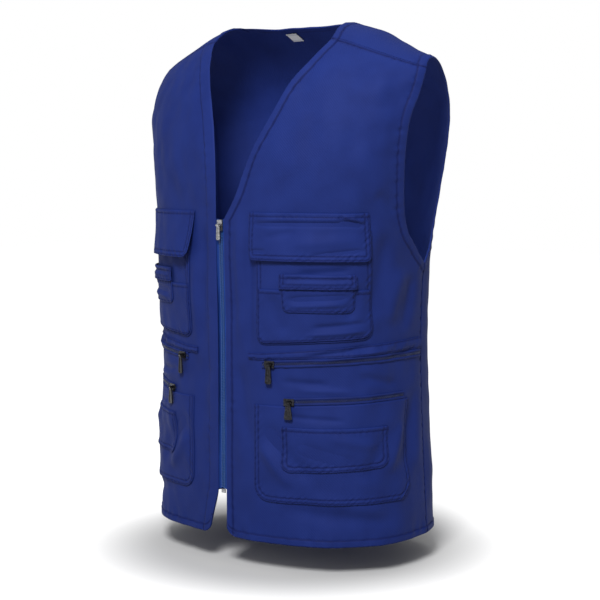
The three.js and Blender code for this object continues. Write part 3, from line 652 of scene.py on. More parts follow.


# outer face, inner face and painted seam shade: drape, cloth with its turned edge, and the sewn lines
def frontHeight(side, s, level):
    d = (1 - level) * length
    inner = innerGirth(side, level)
    step = 0.004
    lean = (innerGirth(side, np.minimum(level + step, 0.999)) - inner) / (step * length)
    eFront = (s - inner) / np.hypot(1, lean)
    eHem = level * length - hemLevel(side, s) * length
    arms, armAlong = np.full(s.shape, float(farOff)), np.zeros(s.shape)
    # only points near the armhole need their distance to it
    near = (level > armLevel - 0.04) & (s > outerGirth(level) - 60)
    if near.any():
        points = bodyPoint(turnAt(side * s, level), level)[near]
        arms[near], armAlong[near] = nearest(points, armCurve(side))
    armEdge = np.where(level > armLevel - 0.002, arms, farOff)
    sideSeam = np.where(level < armLevel, outerGirth(level) - s, farOff)
    yoke = (yokeLevel - level) * length
    line, stitched, joined = frontPanel["veeStitch"][side], sewing["stitchShade"], sewing["joinShade"]
    band = turnedBand(frontPanel["turned"], eFront - line, eHem - sewing["hem"], arms - sewing["arm"])
    relief, paintedSeamShade = sewnLines([
        (eFront, line, d, 21 + side, 0.5, 0.28, 14, 4, stitched),
        (eHem, sewing["hem"], s, 23 + side, 0.5, 0.4, 16, 6, stitched),
        (arms, sewing["arm"], armAlong, 25 + side, 0.5, 0.35, 12, 4, stitched),
        (sideSeam, 0, d, 27 + side, 0.9, 0.3, 12, 5, joined),
        (yoke, 0, s, 29 + side, 0.6, 0.25, 10, 5, joined),
    ])
    borders = np.minimum(np.minimum(eFront, eHem), armEdge)
    return *panelFaces(drape(side, s, d), body["cloth"] + band, relief, borders), paintedSeamShade


# rows from the hem up, columns from the front edge to the side seam and the armhole
def makeFront(side):
    p = frontPanel
    top = yokeLevel + p["tuck"] / length  # the front runs a little under the yoke
    rows = int(top * length / p["rowStep"])
    levels = np.concatenate([np.arange(fineRows) / length, np.linspace(fineRows / length, top, rows)])
    inner, outer = innerGirth(side, levels)[:, None], outerGirth(levels)[:, None] - 0.15
    # fixed steps in from both edges, the rest shared out
    share = fineEnds(p["across"], border=p["fineEdge"]) / p["across"]
    s = np.where(share <= 0.5, inner + share * p["across"], outer - (1 - share) * p["across"])
    edge = p["fineEdge"] / p["across"]
    middle = (share > edge) & (share < 1 - edge)
    t = (share[middle] - edge) / (1 - 2 * edge)
    s[:, middle] = inner + p["fineEdge"] + (outer - inner - 2 * p["fineEdge"]) * t
    rise = np.clip(1 - levels[:, None] * length / p["hemFade"], 0, 1)
    level = levels[:, None] + hemLevel(side, s) * rise
    uv = np.stack([s, level * length], -1)
    obj = layOn(sideName(side, "front"), side, turnAt(side * s, level), level,
                frontHeight(side, s, level), twill, uv)
    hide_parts(*(sideName(side, part) for part in ("front_panel", "front_band", "hem_band")))
    line = p["veeStitch"][side]
    down = np.linspace(0.012, top - 0.004, 400)
    edgeGirth = innerGirth(side, down)
    vee = edgeGirth + line * np.hypot(1, np.gradient(edgeGirth, down * length))
    addStitches(side, vee, down, frontHeight)
    across = np.linspace(innerGirth(side, 0.02) + line + 2, outerGirth(0.02) - 2, 200)
    addStitches(side, across, sewing["hem"] / length + hemLevel(side, across), frontHeight)
    arm = np.linspace(armLevel, top - 0.002, 260)
    addStitches(side, outerGirth(arm) - sewing["arm"], arm, frontHeight)


for side in (1, -1):
    makeFront(side)
print("front panels made")

# Back panel
backPanel = {"shoulderSteps": 46, "neckSteps": 66, "rowStep": 3.0, "turned": 1.2, "shoulderFrom": 650,
             "neckEase": 0.9, "stitchAbove": 2.3, "yokeAbove": 1.6}
backFolds = [
    (0, -120, 120, -60, 330, 24, 2.6),
    (0, 90, 160, 130, 420, 22, -2.6),
    (0, -90, 400, -150, 640, 22, 2.6),
    (0, 40, 420, 60, 650, 20, -2.3),
    (0, 150, 430, 190, 650, 20, 2.6),
]


# turns and reaches of the back's rows: a shoulder, the neck and a shoulder. The rows under the
# neck ease down to its edge
def backGrid():
    p = backPanel
    start = p["shoulderFrom"]
    lower = np.concatenate([np.arange(fineRows), np.arange(fineRows, start, p["rowStep"])]) / length
    upper = np.linspace(start / length, 1, 26)
    over = 1 + np.linspace(0, 1, 16)[1:] * (1 - yokeLevel)
    reach = np.concatenate([lower[lower < (start - 2) / length], upper, over])
    neckRow = int(np.argmin(np.abs(reach - 1)))
    even = np.linspace(0, 1, p["shoulderSteps"] + 1)
    side = 0.6 * 0.5 * (1 - np.cos(np.pi * even)) + 0.4 * even
    neck = np.linspace(0, 1, p["neckSteps"] + 1)
    r = reach[:, None]
    seamTurn = np.where(r <= armLevel, 0.05, 0)
    leftEdge = edgeTurn(r, "backLeft") + seamTurn
    rightEdge = 180 - edgeTurn(r, "backRight") - seamTurn
    left, right = neckTurn(1, r), 180 - neckTurn(-1, r)
    turn = np.concatenate([leftEdge + (left - leftEdge) * side, left + (right - left) * neck[1:-1],
                           rightEdge + (right - rightEdge) * side[::-1]], 1)
    reaches = np.broadcast_to(r, turn.shape).copy()
    middle = slice(p["shoulderSteps"] + 1, turn.shape[1] - 1 - p["shoulderSteps"])
    edgeLevel = backNeckLevel(bodyPoint(turn[neckRow, middle], 1)[:, 0])
    low = p["neckEase"]
    ease = (reaches[:, middle] > low) & (reaches[:, middle] <= 1)
    eased = low + (reaches[:, middle] - low) * (edgeLevel - low) / 0.1
    reaches[:, middle] = np.where(ease, eased, reaches[:, middle])
    return turn, reaches, neckRow


# neck edge in space: down one yoke's end, round the back and up the other
def neckCurve():
    turns = np.linspace(neckTurn(1, 1.0), 180 - neckTurn(-1, 1.0), 200)
    behind = bodyPoint(turns, backNeckLevel(bodyPoint(turns, 1)[:, 0]))
    over = 1 + np.linspace(0, 1, 40) * (1 - yokeLevel)
    left, right = bodyPoint(neckTurn(1, over), over), bodyPoint(180 - neckTurn(-1, over), over)
    return np.concatenate([left[::-1], behind, right])


# outer face, inner face and painted seam shade of the back, from the distances to all its edges
def backHeight(turn, reaches):
    base = bodyPoint(turn, reaches)
    x, d = base[..., 0], (1 - reaches) * length
    eNeck, neckAlong = nearest(base, neckCurve())
    arms = [nearest(base, armCurve(side)) for side in (1, -1)]
    eArm = np.minimum(arms[0][0], arms[1][0])
    armAlong = np.where(arms[0][0] < arms[1][0], arms[0][1], arms[1][1])
    eHem = reaches * length
    toSide = np.minimum(turn - body["side"], 180 - body["side"] - turn) * 3.2  # mm to a degree
    eSide = np.where(reaches < armLevel, toSide, farOff)
    eYoke = (2 - yokeLevel - reaches) * length
    hemEdge = np.where(reaches < armLevel - 0.01, eHem, farOff)
    armEdge = np.where(reaches > armLevel - 0.002, eArm, farOff)
    borders = np.minimum(np.minimum(eNeck, hemEdge), armEdge)
    hem, arm, neck = sewing["hem"], sewing["arm"], sewing["neck"]
    stitched, joined = sewing["stitchShade"], sewing["joinShade"]
    band = turnedBand(backPanel["turned"], eNeck - neck, eHem - hem, eArm - arm)
    relief, paintedSeamShade = sewnLines([
        (eNeck, neck, neckAlong, 41, 0.45, 0.25, 11, 4, stitched),
        (eHem, hem, x, 42, 0.5, 0.4, 16, 6, stitched),
        (eArm, arm, armAlong, 43, 0.5, 0.35, 12, 4, stitched),
        (eSide, 0, d, 44, 0.9, 0.3, 12, 5, joined),
        (eYoke, 0, x, 45, 0.6, 0.25, 10, 5, joined),
    ])
    relief = relief + seamed(eYoke, 3, x, 46, 0.35, 0.2, 9, 3)
    soft = np.clip(np.minimum(eSide, eYoke) / 20, 0, 1)
    low = (1.1 * rumple(x, d, 110, 15, 40, 51) + 0.4 * rumple(x, d, 45, 20, 60, 52)
           + folds(backFolds, 0, x, d)) * soft
    return *panelFaces(low, body["cloth"] + band, relief, borders), paintedSeamShade


# one sheet from the hem over the shoulders to the yoke seams, open at the neck
def makeBack():
    turn, reaches, neckRow = backGrid()
    rows, columns = turn.shape
    first = backPanel["shoulderSteps"]
    cells = np.ones((rows - 1, columns - 1), bool)
    cells[neckRow:, first:columns - 1 - first] = False
    steps = np.linalg.norm(np.diff(bodyPoint(turn, reaches), axis=1), axis=-1)
    along = np.concatenate([np.zeros((rows, 1)), np.cumsum(steps, 1)], 1)
    uv = np.stack([along, reaches * length], -1)
    obj = layOn("back", 1, turn, reaches, backHeight(turn, reaches), twill, uv, cells)
    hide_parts("back_panel", "back_hem_band", "back_neck_band",
                "left_armhole_band", "right_armhole_band")


# runs of stitches along the hem, the armhole and the yoke of one half
def backStitches(side):
    def mirrored(turns):
        return turns if side > 0 else 180 - turns
    above = backPanel["stitchAbove"]
    hemTurns = np.linspace(14, 89, 200) if side > 0 else np.linspace(91, 166, 200)
    keepStitches(side, hemTurns, sewing["hem"] / length, above)
    up = np.linspace(armLevel + 0.01, 0.985, 260)
    edge = edgeTurn(up, "backLeft" if side > 0 else "backRight")
    armTurns = turnAt(girthAt(360 + edge, up) + sewing["arm"], up) - 360
    keepStitches(side, mirrored(armTurns), up, above)
    level = 2 - yokeLevel - 3 / length
    yokeTurns = np.linspace(edgeTurn(level, "front"), neckTurn(side, level), 120)[3:-3]
    keepStitches(side, mirrored(yokeTurns), level, backPanel["yokeAbove"])


makeBack()
for side in (1, -1):
    backStitches(side)
print("back panel made")

# Pockets
# every pocket: where it starts round the body, its size, its stitched lines and its own folds
waistZip = {"from": 66, "width": 238, "top": 447, "rise": 9}
lowerZip = {"from": 96, "width": 168, "top": 494, "rise": 5}
tapeWidth = 10
chestPocket = {
    "from": 58, "width": 154, "top": 274, "height": 148, "corner": 14, "tilt": 9, "level": 0, "puff": 3.4,
    "lines": [2, 7], "topStitch": None,
    "folds": [
        (1, 128, 398, 206, 391, 3.4, -2.5),
        (1, 120, 408, 208, 401, 3, 2.2),
        (1, 130, 415, 206, 407, 2.6, -1.7),
        (1, 78, 352, 98, 412, 11, -3.1),
        (1, 196, 340, 176, 392, 8, -2.9),
        (1, 110, 330, 190, 324, 5, -2.3),
    ],
}
outerPatch = {"from": 60.5, "width": 149, "top": 349.5, "height": 70, "corner": 11.5, "tilt": 9, "level": 1,
              "lines": [2], "topStitch": 5, "parent": chestPocket, "folds": []}
smallPocket = {"from": 96, "width": 91, "top": 343, "height": 35, "corner": 9, "level": 2, "lines": [2],
               "topStitch": 5, "parent": chestPocket, "folds": [
                   (0, 98, 362, 186, 357, 3.6, -2.6),
                   (0, 100, 371, 182, 366, 3.4, 2)]}
smallFlap = {"from": 94, "width": 95, "top": 329, "height": 19, "corner": 3, "level": 3, "lines": [2, 6],
             "topStitch": 5, "parent": chestPocket, "liftFront": {1: 1.2, -1: 1.2},
             "liftSide": {1: 1, -1: 1}, "folds": [
                 (0, 96, 336, 188, 335, 2.2, -1.6),
                 (0, 96, 341, 188, 340, 2.2, 1)]}
chestFlap = {"from": 49, "width": 160, "top": 252, "height": 61, "corner": 9, "level": 1, "lines": [2, 7],
             "topStitch": 5, "parent": chestPocket, "liftFront": {1: 4.5, -1: 14},
             "liftSide": {1: 3.5, -1: 3}, "sewnLower": 1.1, "folds": [
                 (1, 40, 267, 218, 266, 3, -2.5),
                 (1, 50, 261, 208, 259, 3.4, 1.4),
                 (1, 164, 258, 200, 270, 3, -1.8),
                 (1, 172, 254, 206, 265, 2.6, 1.6),
                 (1, 46, 302, 76, 301, 2.4, -2.1),
                 (1, 70, 284, 120, 276, 5, -1.3),
                 (1, 130, 306, 206, 298, 3, -2),
                 (1, 100, 292, 200, 286, 8, 2.1)]}
lowerPocket = {"from": 54, "width": 221, "top": 500, "height": 125, "corner": 22, "level": 0, "puff": 3.4,
               "lines": [2, 7], "topStitch": None, "under": lowerZip, "folds": [
                   (0, 62, 520, 140, 600, 12, -4.2),
                   (0, 60, 548, 110, 606, 8, 3.4),
                   (0, 240, 520, 200, 600, 12, -3.6),
                   (0, 262, 520, 236, 590, 8, 3.1),
                   (0, 96, 512, 180, 517, 3.4, -2.1)]}
lowerSmall = {"from": 94, "width": 140, "top": 526, "height": 59, "corner": 14, "tilt": 6, "level": 1,
              "lines": [2, 7], "topStitch": 5, "parent": lowerPocket, "folds": [
                  (0, 104, 548, 190, 574, 9, -2.3),
                  (0, 150, 538, 225, 552, 7, 2)]}


# depth of a zip's middle line, which rises towards the side seam
def zipLine(zipper, s):
    share = np.clip((s - zipper["from"]) / zipper["width"], 0, 1)
    return zipper["top"] - zipper["rise"] * (1 - (1 - share) ** 2)


# depth of a pocket's upper edge, level or along the zip that it hangs under
def pocketTop(shape, s):
    if "under" not in shape:
        return np.full(np.shape(s), float(shape["top"]))
    return zipLine(shape["under"], s) + tapeWidth / 2 + body["gap"]


# depth of its lower edge, which may slant
def pocketBottom(shape, s):
    return shape["top"] + shape["height"] - shape.get("tilt", 0) * (s - shape["from"]) / shape["width"]


# distance in from a pocket's outline: straight sides, rounded lower corners
def pocketEdge(shape, s, d):
    a = np.minimum(s - shape["from"], shape["from"] + shape["width"] - s)
    h = pocketBottom(shape, s) - d
    r = shape["corner"]
    corner = r - np.hypot(np.maximum(r - a, 0), np.maximum(r - h, 0))
    low = np.where((a < r) & (h < r), corner, np.minimum(a, h))
    return low, d - pocketTop(shape, s)


# a pocket is flat at its edges and stands off in the middle, a half wave each way
def puff(shape, s, d):
    across = np.clip((s - shape["from"]) / shape["width"], 0, 1)
    top = pocketTop(shape, s)
    down = np.clip((d - top) / (pocketBottom(shape, s) - top), 0, 1)
    return shape["puff"] * np.sin(np.pi * across) * np.sin(np.pi * down)


# what a pocket and all that is sewn on it have in common: its puff, and folds off its edges
def shared(shape, side, s, d):
    owner = shape.get("parent", shape)
    edge, top = pocketEdge(owner, s, d)
    inside = 1 - np.exp(-np.maximum(np.minimum(edge, top), 0) / 7)
    return puff(owner, s, d) + folds(owner["folds"], side, s, d) * inside


# outer face, inner face and painted seam shade of a pocket. The layers below lift it, a flap also stands
# off more towards its lower edge, and its own edges are rolled and a little thicker
def pocketHeight(shape, seed):
    def height(side, s, level):
        d = (1 - level) * length
        edge, top = pocketEdge(shape, s, d)
        e = np.minimum(edge, top)
        low = drape(side, s, d) + shared(shape, side, s, d)
        low = low + body["cloth"] + body["gap"] + shape["level"] * (body["layer"] + body["gap"])
        own, paintedSeamShade = np.zeros(s.shape), np.zeros(s.shape)
        for k, line in enumerate(shape["lines"]):
            own = own + seamed(edge, line, s + d, seed + side + 3 * k, 0.35, 0.3, 8, 3)
            paintedSeamShade = paintedSeamShade + np.exp(-((edge - line) / sewing["pocketShade"]) ** 2)
        if shape["topStitch"]:
            own = own + seamed(top, shape["topStitch"], s, seed + side + 9, 0.35, 0.25, 8, 3)
            paintedSeamShade = paintedSeamShade + np.exp(-((top - shape["topStitch"]) / sewing["pocketShade"]) ** 2)
        if "parent" in shape:  # a pocket without one has its folds in shared
            own = own + folds(shape["folds"], side, s, d) * np.clip(e / 5, 0, 1)
        if "liftFront" in shape:
            down = np.clip((d - shape["top"]) / shape["height"], 0, 1)
            back = np.clip((s - shape["from"]) / shape["width"], 0, 1)
            front, rear = shape["liftFront"][side], shape["liftSide"][side]
            low = low + (rear + (front - rear) * (1 - back) ** 2) * down ** 1.6
            low = low - shape.get("sewnLower", 0) * np.clip(1 - down * 2.8, 0, 1) ** 2
        roll = rolled(np.maximum(e, 0), sewing["pocketRoll"])
        thick = body["layer"] + 0.5 * np.exp(-np.maximum(e - 2, 0) / 3)
        return (low + thick * (0.45 + 0.55 * roll) + own * np.clip(e / 1.5, 0, 1),
                low + body["layer"] * 0.3 * (1 - roll), np.clip(paintedSeamShade, 0, 1))
    return height


# rows and columns of a pocket: fine ones near its edges, coarse ones between
pocketGrid = {"fine": 1.0, "coarse": 1.8, "fineEdge": 14, "topRows": 6, "cornerStep": 0.9}


# a pocket follows the body: columns from side to side, rows between its two edges
def makePocket(side, label, shape, seed):
    p = pocketGrid
    name = sideName(side, label)
    r, width, tall = shape["corner"], shape["width"], shape["height"]
    # rows from the bottom up, each drawn in where the corner is round
    low = np.concatenate([[0, 0.15, 0.5, 1], np.arange(1.6, r, p["cornerStep"])])
    high = np.concatenate([np.arange(r, tall - p["topRows"], p["coarse"]),
                           tall - np.arange(p["topRows"], -0.5, -1.0)])
    up = np.concatenate([low, high])
    corner = r - np.sqrt(np.maximum(0, r ** 2 - (r - low) ** 2))
    inset = np.concatenate([corner, np.zeros(len(high))])[:, None]
    share = fineEnds(width, p["fine"], p["coarse"], min(p["fineEdge"], width / 4)) / width
    start, end = shape["from"] + inset, shape["from"] + width - inset
    s = start + (end - start) * share
    bottom, top = pocketBottom(shape, s), pocketTop(shape, s)
    level = 1 - (bottom + (top - bottom) * (up / tall)[:, None]) / length
    heights = pocketHeight(shape, seed)
    uv = np.stack([s + 3 * seed, level * length], -1)
    obj = layOn(name + "_cloth", side, turnAt(side * s, level), level, heights(side, s, level), twill, uv)
    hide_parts(name)
    for line in shape["lines"]:
        addStitches(side, *outlineOf(shape, line), heights)
    if shape["topStitch"]:
        across = np.linspace(shape["from"] + 2, shape["from"] + width - 2, 200)
        addStitches(side, across, 1 - (pocketTop(shape, across) + shape["topStitch"]) / length, heights)


# a line at one distance inside a pocket's sides and rounded bottom
def outlineOf(shape, line):
    r = max(shape["corner"] - line, 0.5)
    left, right = shape["from"] + line, shape["from"] + shape["width"] - line
    top = pocketTop(shape, np.array([left, right])) + 1.5
    bottomL, bottomR = pocketBottom(shape, left) - line, pocketBottom(shape, right) - line
    a = np.radians(np.linspace(0, 90, 14))
    s = np.concatenate([np.full(60, left), left + r - r * np.cos(a), np.linspace(left + r, right - r, 80),
                        right - r + r * np.sin(a), np.full(60, right)])
    d = np.concatenate([np.linspace(top[0], bottomL - r, 60), bottomL - r + r * np.sin(a),
                        np.linspace(bottomL, bottomR, 80), bottomR - r + r * np.cos(a),
                        np.linspace(bottomR - r, top[1], 60)])
    return s, 1 - d / length


pockets = {
    "chest_pocket": (chestPocket, 60), "chest_outer_patch": (outerPatch, 70),
    "small_pocket": (smallPocket, 80), "small_flap": (smallFlap, 90), "chest_flap": (chestFlap, 100),
    "lower_pocket": (lowerPocket, 110), "lower_small_pocket": (lowerSmall, 120),
}
for side in (1, -1):
    for label, (shape, seed) in pockets.items():
        makePocket(side, label, shape, seed)
print("pockets made")

# Waist welt and pocket zips
welt = {"height": 9, "rise": 7, "lead": 20, "bulge": 1.0, "lowerStitch": 2, "upperStitch": 1.5}
weltStart = waistZip["from"] - welt["lead"]
weltLength = waistZip["width"] + welt["lead"]
zipTeeth = {"pitch": 1.5, "apart": 0.7, "above": 1.1, "block": (2.6, 1.0, 0.9)}
zipLips = {"base": 0.7, "height": 1.1, "at": 3.4, "width": 1.1, "wave": 0.25}


# the welt grows taller towards the side seam
def weltTall(s):
    return welt["height"] + welt["rise"] * np.clip((s - weltStart) / weltLength, 0, 1)


# depth of its lower edge, along the zip under it
def weltFoot(s):
    return zipLine(waistZip, s) - tapeWidth / 2 - body["gap"]


# outer face, inner face and painted seam shade of the welt: a low half wave from edge to edge
def weltHeight(side, s, level):
    d = (1 - level) * length
    tall = weltTall(s)
    up = weltFoot(s) - d
    lower, upper = welt["lowerStitch"], welt["upperStitch"]
    e = np.minimum(up, tall - up)
    low = drape(side, s, d) + body["cloth"] + body["gap"]
    own = seamed(up, lower, s, 130 + side, 0.3, 0.3, 9, 3)
    own = own + seamed(tall - up, upper, s, 133 + side, 0.3, 0.3, 11, 3)
    own = own + 0.5 * ripple(s + 0.6 * d, 24, 136 + side) * np.clip(e / 4, 0, 1)
    paintedSeamShade = sum(np.exp(-(away / sewing["pocketShade"]) ** 2) for away in (up - lower, tall - up - upper))
    bulge = welt["bulge"] * np.sin(np.pi * np.clip(up / tall, 0, 1))
    thick = body["layer"] * (0.45 + 0.55 * rolled(np.maximum(e, 0), sewing["pocketRoll"]))
    return low + bulge + thick + own * np.clip(e / 1.5, 0, 1), low, np.clip(paintedSeamShade, 0, 1)


# a band as long as the waist zip and its lead, its lower edge along the zip
def makeWelt(side):
    name = sideName(side, "waist_welt")
    v = np.linspace(0, 1, 18)[:, None]
    s = np.linspace(weltStart, weltStart + weltLength, 170) + 0 * v
    d = weltFoot(s) - v * weltTall(s)
    level = 1 - d / length
    obj = layOn(name + "_cloth", side, turnAt(side * s, level), level, weltHeight(side, s, level),
                twill, np.stack([s, d], -1))
    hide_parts(name)
    line = np.linspace(weltStart + 2, weltStart + weltLength - 2, 240)
    addStitches(side, line, 1 - (weltFoot(line) - welt["lowerStitch"]) / length, weltHeight)
    upperLine = weltFoot(line) - weltTall(line) + welt["upperStitch"]
    addStitches(side, line, 1 - upperLine / length, weltHeight)


# rounded blocks set side by side: 8 corners each, pulled in a little at the outer face
def blocks(name, centre, across, along, out, size, material):
    x, y = np.array([-1, 1, 1, -1] * 2) / 2, np.array([-1, -1, 1, 1] * 2) / 2
    z = np.repeat([-0.5, 0.5], 4)
    pinch = np.where(z > 0, 0.62, 1)
    corners = [(k * width)[None, :, None] for k, width in zip((x * pinch, y * pinch, z), size)]
    verts = (centre[:, None] + across[:, None] * corners[0] + along[:, None] * corners[1]
             + out[:, None] * corners[2])
    faces = np.array([[0, 3, 2, 1], [4, 5, 6, 7], [0, 1, 5, 4], [1, 2, 6, 5], [2, 3, 7, 6], [3, 0, 4, 7]])
    quads = (faces[None] + 8 * np.arange(len(centre))[:, None, None]).reshape(-1, 4)
    flip = np.einsum("ij,ij->i", np.cross(across, along), out) < 0
    quads = np.where(np.repeat(flip, 6)[:, None], quads[:, ::-1], quads)
    return addObject(name, verts, quads, material)


# a row of teeth along a zip, each block turned to the zip's own direction
def layTeeth(name, side, s, d, above, size, material):
    level = 1 - d / length
    turn = turnAt(side * s, level)
    out = bodyNormal(turn, level)
    centre = onBody(turn, level, above)
    along = unit(np.gradient(centre, axis=0))
    return blocks(name, centre, unit(np.cross(out, along)), along, out, size, material)


# two lips of cloth that roll down to the teeth between them
def makePocketZip(side, label, zipper):
    name = sideName(side, label)
    start, end = zipper["from"], zipper["from"] + zipper["width"]
    half = np.array([0.8, 1.6, 2.4, 3, 3.6, 4.4, 5])
    v = np.concatenate([-half[::-1], [0], half])[:, None]
    s = np.linspace(start, end, int(zipper["width"] / 2)) + 0 * v
    d = zipLine(zipper, s) - v
    level = 1 - d / length
    lip = zipLips["height"] * np.exp(-((np.abs(v) - zipLips["at"]) / zipLips["width"]) ** 2)
    low = drape(side, s, d) + body["cloth"] + body["gap"]
    own = zipLips["wave"] * ripple(s, 13, 140 + side) * (np.abs(v) / (tapeWidth / 2))
    # painted shade between the lips, darkest over the teeth
    paintedSeamShade = np.exp(-(v / sewing["lipShade"]) ** 2) + 0 * d
    outer = low + zipLips["base"] + lip + own
    obj = layOn(name + "_tape", side, turnAt(side * s, level), level, (outer, low, paintedSeamShade),
                shadedPocketTape, np.stack([s, d], -1))
    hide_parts(name)
    t = np.arange(start + 1, end - 1, zipTeeth["pitch"])
    dt = zipLine(zipper, t) + zipTeeth["apart"] * np.where(np.arange(len(t)) % 2 == 0, 1, -1)
    above = drape(side, t, dt) + body["cloth"] + body["gap"] + zipTeeth["above"]
    teeth = layTeeth(name + "_teeth", side, t, dt, above, zipTeeth["block"], teethDark)


for side in (1, -1):
    makeWelt(side)
    makePocketZip(side, "waist_zip", waistZip)
    makePocketZip(side, "lower_zip", lowerZip)
print("welts and pocket zips made")

# Main zip
# the right tape is drawn back round one depth, where the fronts part
mainZip = {"tape": 12, "thick": 0.8, "teeth": 3, "teethAt": 1.75, "above": -0.25,
           "block": (3.2, 1.35, 2.0), "firstTooth": 9, "pitch": 2.1, "end": 618,
           "drawnBack": {1: 0, -1: 5}, "drawnAt": 452, "drawnOver": 100}


# a flat tape behind the front edge, and teeth that mesh with those of the other side
def makeMainZip(side):
    p = mainZip
    level = 1 - np.linspace(p["end"], body["vee"], 180)[:, None] / length
    start = p["teeth"] + body["gap"]
    s = np.linspace(start, start + p["tape"], 8) + 0 * level
    level = level + 0 * s
    drawn = p["drawnBack"][side] * np.exp(-(((1 - level) * length - p["drawnAt"]) / p["drawnOver"]) ** 4)
    outer = -body["gap"] - drawn
    uv = np.stack([s, level * length], -1)
    tape = layOn(sideName(side, "main_zip_cloth"), side, turnAt(side * s, level), level,
                 (outer, outer - p["thick"], 0 * s), tapeCloth, uv)
    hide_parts(sideName(side, "main_zip_tape"))
    shift = p["pitch"] / 2 if side > 0 else 0
    d = np.arange(body["vee"] + p["firstTooth"], p["end"] - 1, p["pitch"]) + shift
    teeth = layTeeth(sideName(side, "main_zip_blocks"), side, p["teethAt"], d, p["above"],
                     p["block"], teethBlue)
    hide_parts(sideName(side, "main_zip_teeth"))


for side in (1, -1):
    makeMainZip(side)
print("main zip made")

# Label
neckLabel = {"width": 18, "height": 9, "down": 4, "middle": -42, "gap": 0.8, "thick": 0.5, "bow": 0.4}


# a small folded tape inside the back's neck, bowed a little in its middle
def makeLabel():
    p = neckLabel
    v = np.linspace(0, 1, 8)[:, None]
    u = np.linspace(1, 0, 14) + 0 * v
    x = p["middle"] + p["width"] * (u - 0.5)
    half = body["halfWidth"] * sections["width"][-1]
    turn = np.degrees(np.arccos(np.sign(x) * (np.abs(x) / half) ** (body["round"] / 2)))
    top = backNeckLevel(np.array(float(p["middle"])))
    level = top - (p["down"] + p["height"] * (1 - v)) / length + 0 * u
    outer = -p["gap"] - p["bow"] * np.sin(np.pi * u) * np.sin(np.pi * v)
    # darker lines near its top and bottom edges, through the same seam shade mask
    paintedSeamShade = 0.5 * np.exp(-((np.minimum(v, 1 - v) * p["height"] - 1) / 0.5) ** 2) + 0 * u
    obj = layOn("label", 1, turn, level, (outer, outer - p["thick"], paintedSeamShade), labelCloth,
                np.stack([x, p["height"] * v + 0 * u], -1))
    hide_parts("neck_label")


makeLabel()
print("label made")

# Stitches
# a stitch has four rings: where along it and how wide they are, as shares, and how far out
stitch = {"pitch": 3.0, "long": 2.3, "radius": 0.24, "sides": 5, "at": (-0.5, -0.3, 0.3, 0.5),
          "wide": (0.35, 1, 1, 0.35), "out": (-0.2, 0, 0, -0.2)}


# each stitch is a small tube, thin at both ends, set along its line and half sunk in the cloth
def makeStitches(side):
    centres, directions, outs = [], [], []
    for line, normal in stitchPaths[side]:
        run = np.concatenate([[0], np.cumsum(np.linalg.norm(np.diff(line, axis=0), axis=1))])
        at = np.arange(stitch["pitch"], run[-1] - stitch["pitch"], stitch["pitch"])
        place, ahead, up = (np.stack([np.interp(where, run, rows[:, k]) for k in range(3)], -1)
                            for where, rows in ((at, line), (at + 0.5, line), (at, normal)))
        centres.append(place)
        directions.append(unit(ahead - place))
        outs.append(unit(up))
    centre, along, out = (np.concatenate(v)[:, None, None] for v in (centres, directions, outs))
    across = unit(np.cross(along, out))
    out = np.cross(across, along)
    k, rings = stitch["sides"], len(stitch["at"])
    angle = (2 * np.pi * np.arange(k) / k)[None, None, :, None]
    at, wide, sink = (np.array(stitch[key])[None, :, None, None] for key in ("at", "wide", "out"))
    ring = np.cos(angle) * across + np.sin(angle) * out
    verts = centre + along * at * stitch["long"] + out * sink + ring * wide * stitch["radius"]
    i, j = np.meshgrid(np.arange(rings - 1), np.arange(k), indexing="ij")
    here, beside = i * k + j, i * k + (j + 1) % k
    face = np.stack([here, here + k, beside + k, beside], -1).reshape(-1, 4)
    quads = (face[None] + rings * k * np.arange(len(centre))[:, None, None]).reshape(-1, 4)
    addObject(sideName(side, "stitches"), verts, quads[:, ::-1], thread)


for side in (1, -1):
    makeStitches(side)
print("stitches made")

# Hard pieces: silver for the main zip's, gunmetal for the rest
for name, obj in frame["nodes"].items():
    if obj.hide_render:
        continue
    obj.data.materials.clear()
    obj.data.materials.append(silver if name.startswith("main_zip") else gunmetal)

# Floor and light
# metres and watts. A light's row is azimuth, elevation, distance, size and power. The floor
# has a painted glow from the first radius on to the full glow at the second, and inside the first
# radius none, a painted shadow under the vest
studio = {
    "floor": -0.689, "floorReach": 6, "paintedGlow": (0, 0.8), "paintedGlowRadius": (0.17, 0.36), "world": 0.34,
    "centre": (0, 0, -0.33),
    "lights": {"key": (30, 40, 2.6, 0.8, 72), "fill": (-45, 12, 3.0, 1.2, 8),
               "top": (190, 74, 2.4, 1.2, 6)},
    "inside": {"at": (0, -0.06, -0.2), "facing": (0.05, 0.15, 0.1), "size": 0.16, "power": 0.2},
}
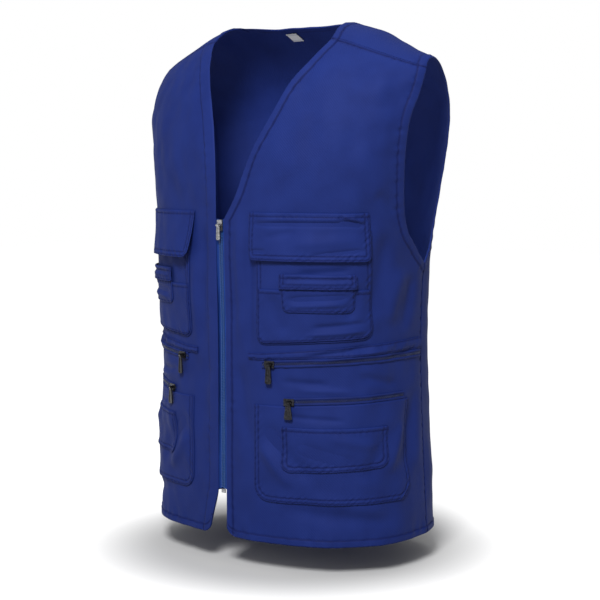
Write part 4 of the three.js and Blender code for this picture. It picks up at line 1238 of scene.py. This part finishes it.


# pale floor with a painted glow towards its rim, so that it meets the backdrop without a line, and no glow
# in its middle, a painted shadow under the vest
def makeFloor():
    material, nodes, links, shader = newMaterial("paleFloor")
    setInputs(shader, {"Base Color": (*looks["floor"], 1), "Roughness": 0.9, "Emission Strength": 1})
    place, away = nodes.new("ShaderNodeTexCoord"), nodes.new("ShaderNodeVectorMath")
    away.operation = "LENGTH"
    links.new(place.outputs["Object"], away.inputs[0])
    paintedGlow = nodes.new("ShaderNodeMapRange")
    paintedGlow.interpolation_type = "SMOOTHSTEP"
    (near, far), (weak, full) = studio["paintedGlowRadius"], studio["paintedGlow"]
    setInputs(paintedGlow, {"From Min": near, "From Max": far, "To Min": weak, "To Max": full})
    links.new(away.outputs["Value"], paintedGlow.inputs["Value"])
    links.new(paintedGlow.outputs["Result"], shader.inputs["Emission Color"])
    mesh = bpy.data.meshes.new("floor")
    r = studio["floorReach"]
    mesh.from_pydata([(-r, -r, 0), (r, -r, 0), (r, r, 0), (-r, r, 0)], [], [(0, 1, 2, 3)])
    mesh.materials.append(material)
    obj = bpy.data.objects.new("floor", mesh)
    obj.location.z = studio["floor"]
    obj.visible_diffuse = False  # its glow doesn't light the cloth from below
    bpy.context.collection.objects.link(obj)


def addLamp(name, place, facing, size, power):
    data = bpy.data.lights.new(name, "AREA")
    data.shape = "DISK"
    data.size = size
    data.energy = power
    return setUp(name, data, place, facing)


def makeStudio():
    makeFloor()
    for name, (azimuth, elevation, distance, size, power) in studio["lights"].items():
        away = outTo(azimuth, elevation)
        addLamp(name, Vector(studio["centre"]) + away * distance, -away, size, power)
    # a weak lamp between the fronts, turned to the inside of the back
    lamp = studio["inside"]
    inside = addLamp("inside", lamp["at"], Vector(lamp["facing"]), lamp["size"], lamp["power"])
    inside.visible_camera = False
    world = bpy.data.worlds.new("studio")
    world.use_nodes = True
    nodes, links = world.node_tree.nodes, world.node_tree.links
    back = nodes["Background"]
    back.inputs["Color"].default_value = (1, 1, 1, 1)
    # the backdrop itself is white, its light a little weaker
    path, strength = nodes.new("ShaderNodeLightPath"), nodes.new("ShaderNodeMapRange")
    setInputs(strength, {"To Min": studio["world"], "To Max": 1})
    links.new(path.outputs["Is Camera Ray"], strength.inputs["Value"])
    links.new(strength.outputs["Result"], back.inputs["Strength"])
    bpy.context.scene.world = world
    bpy.context.scene.view_settings.view_transform = "Standard"


makeStudio()
print("studio made")
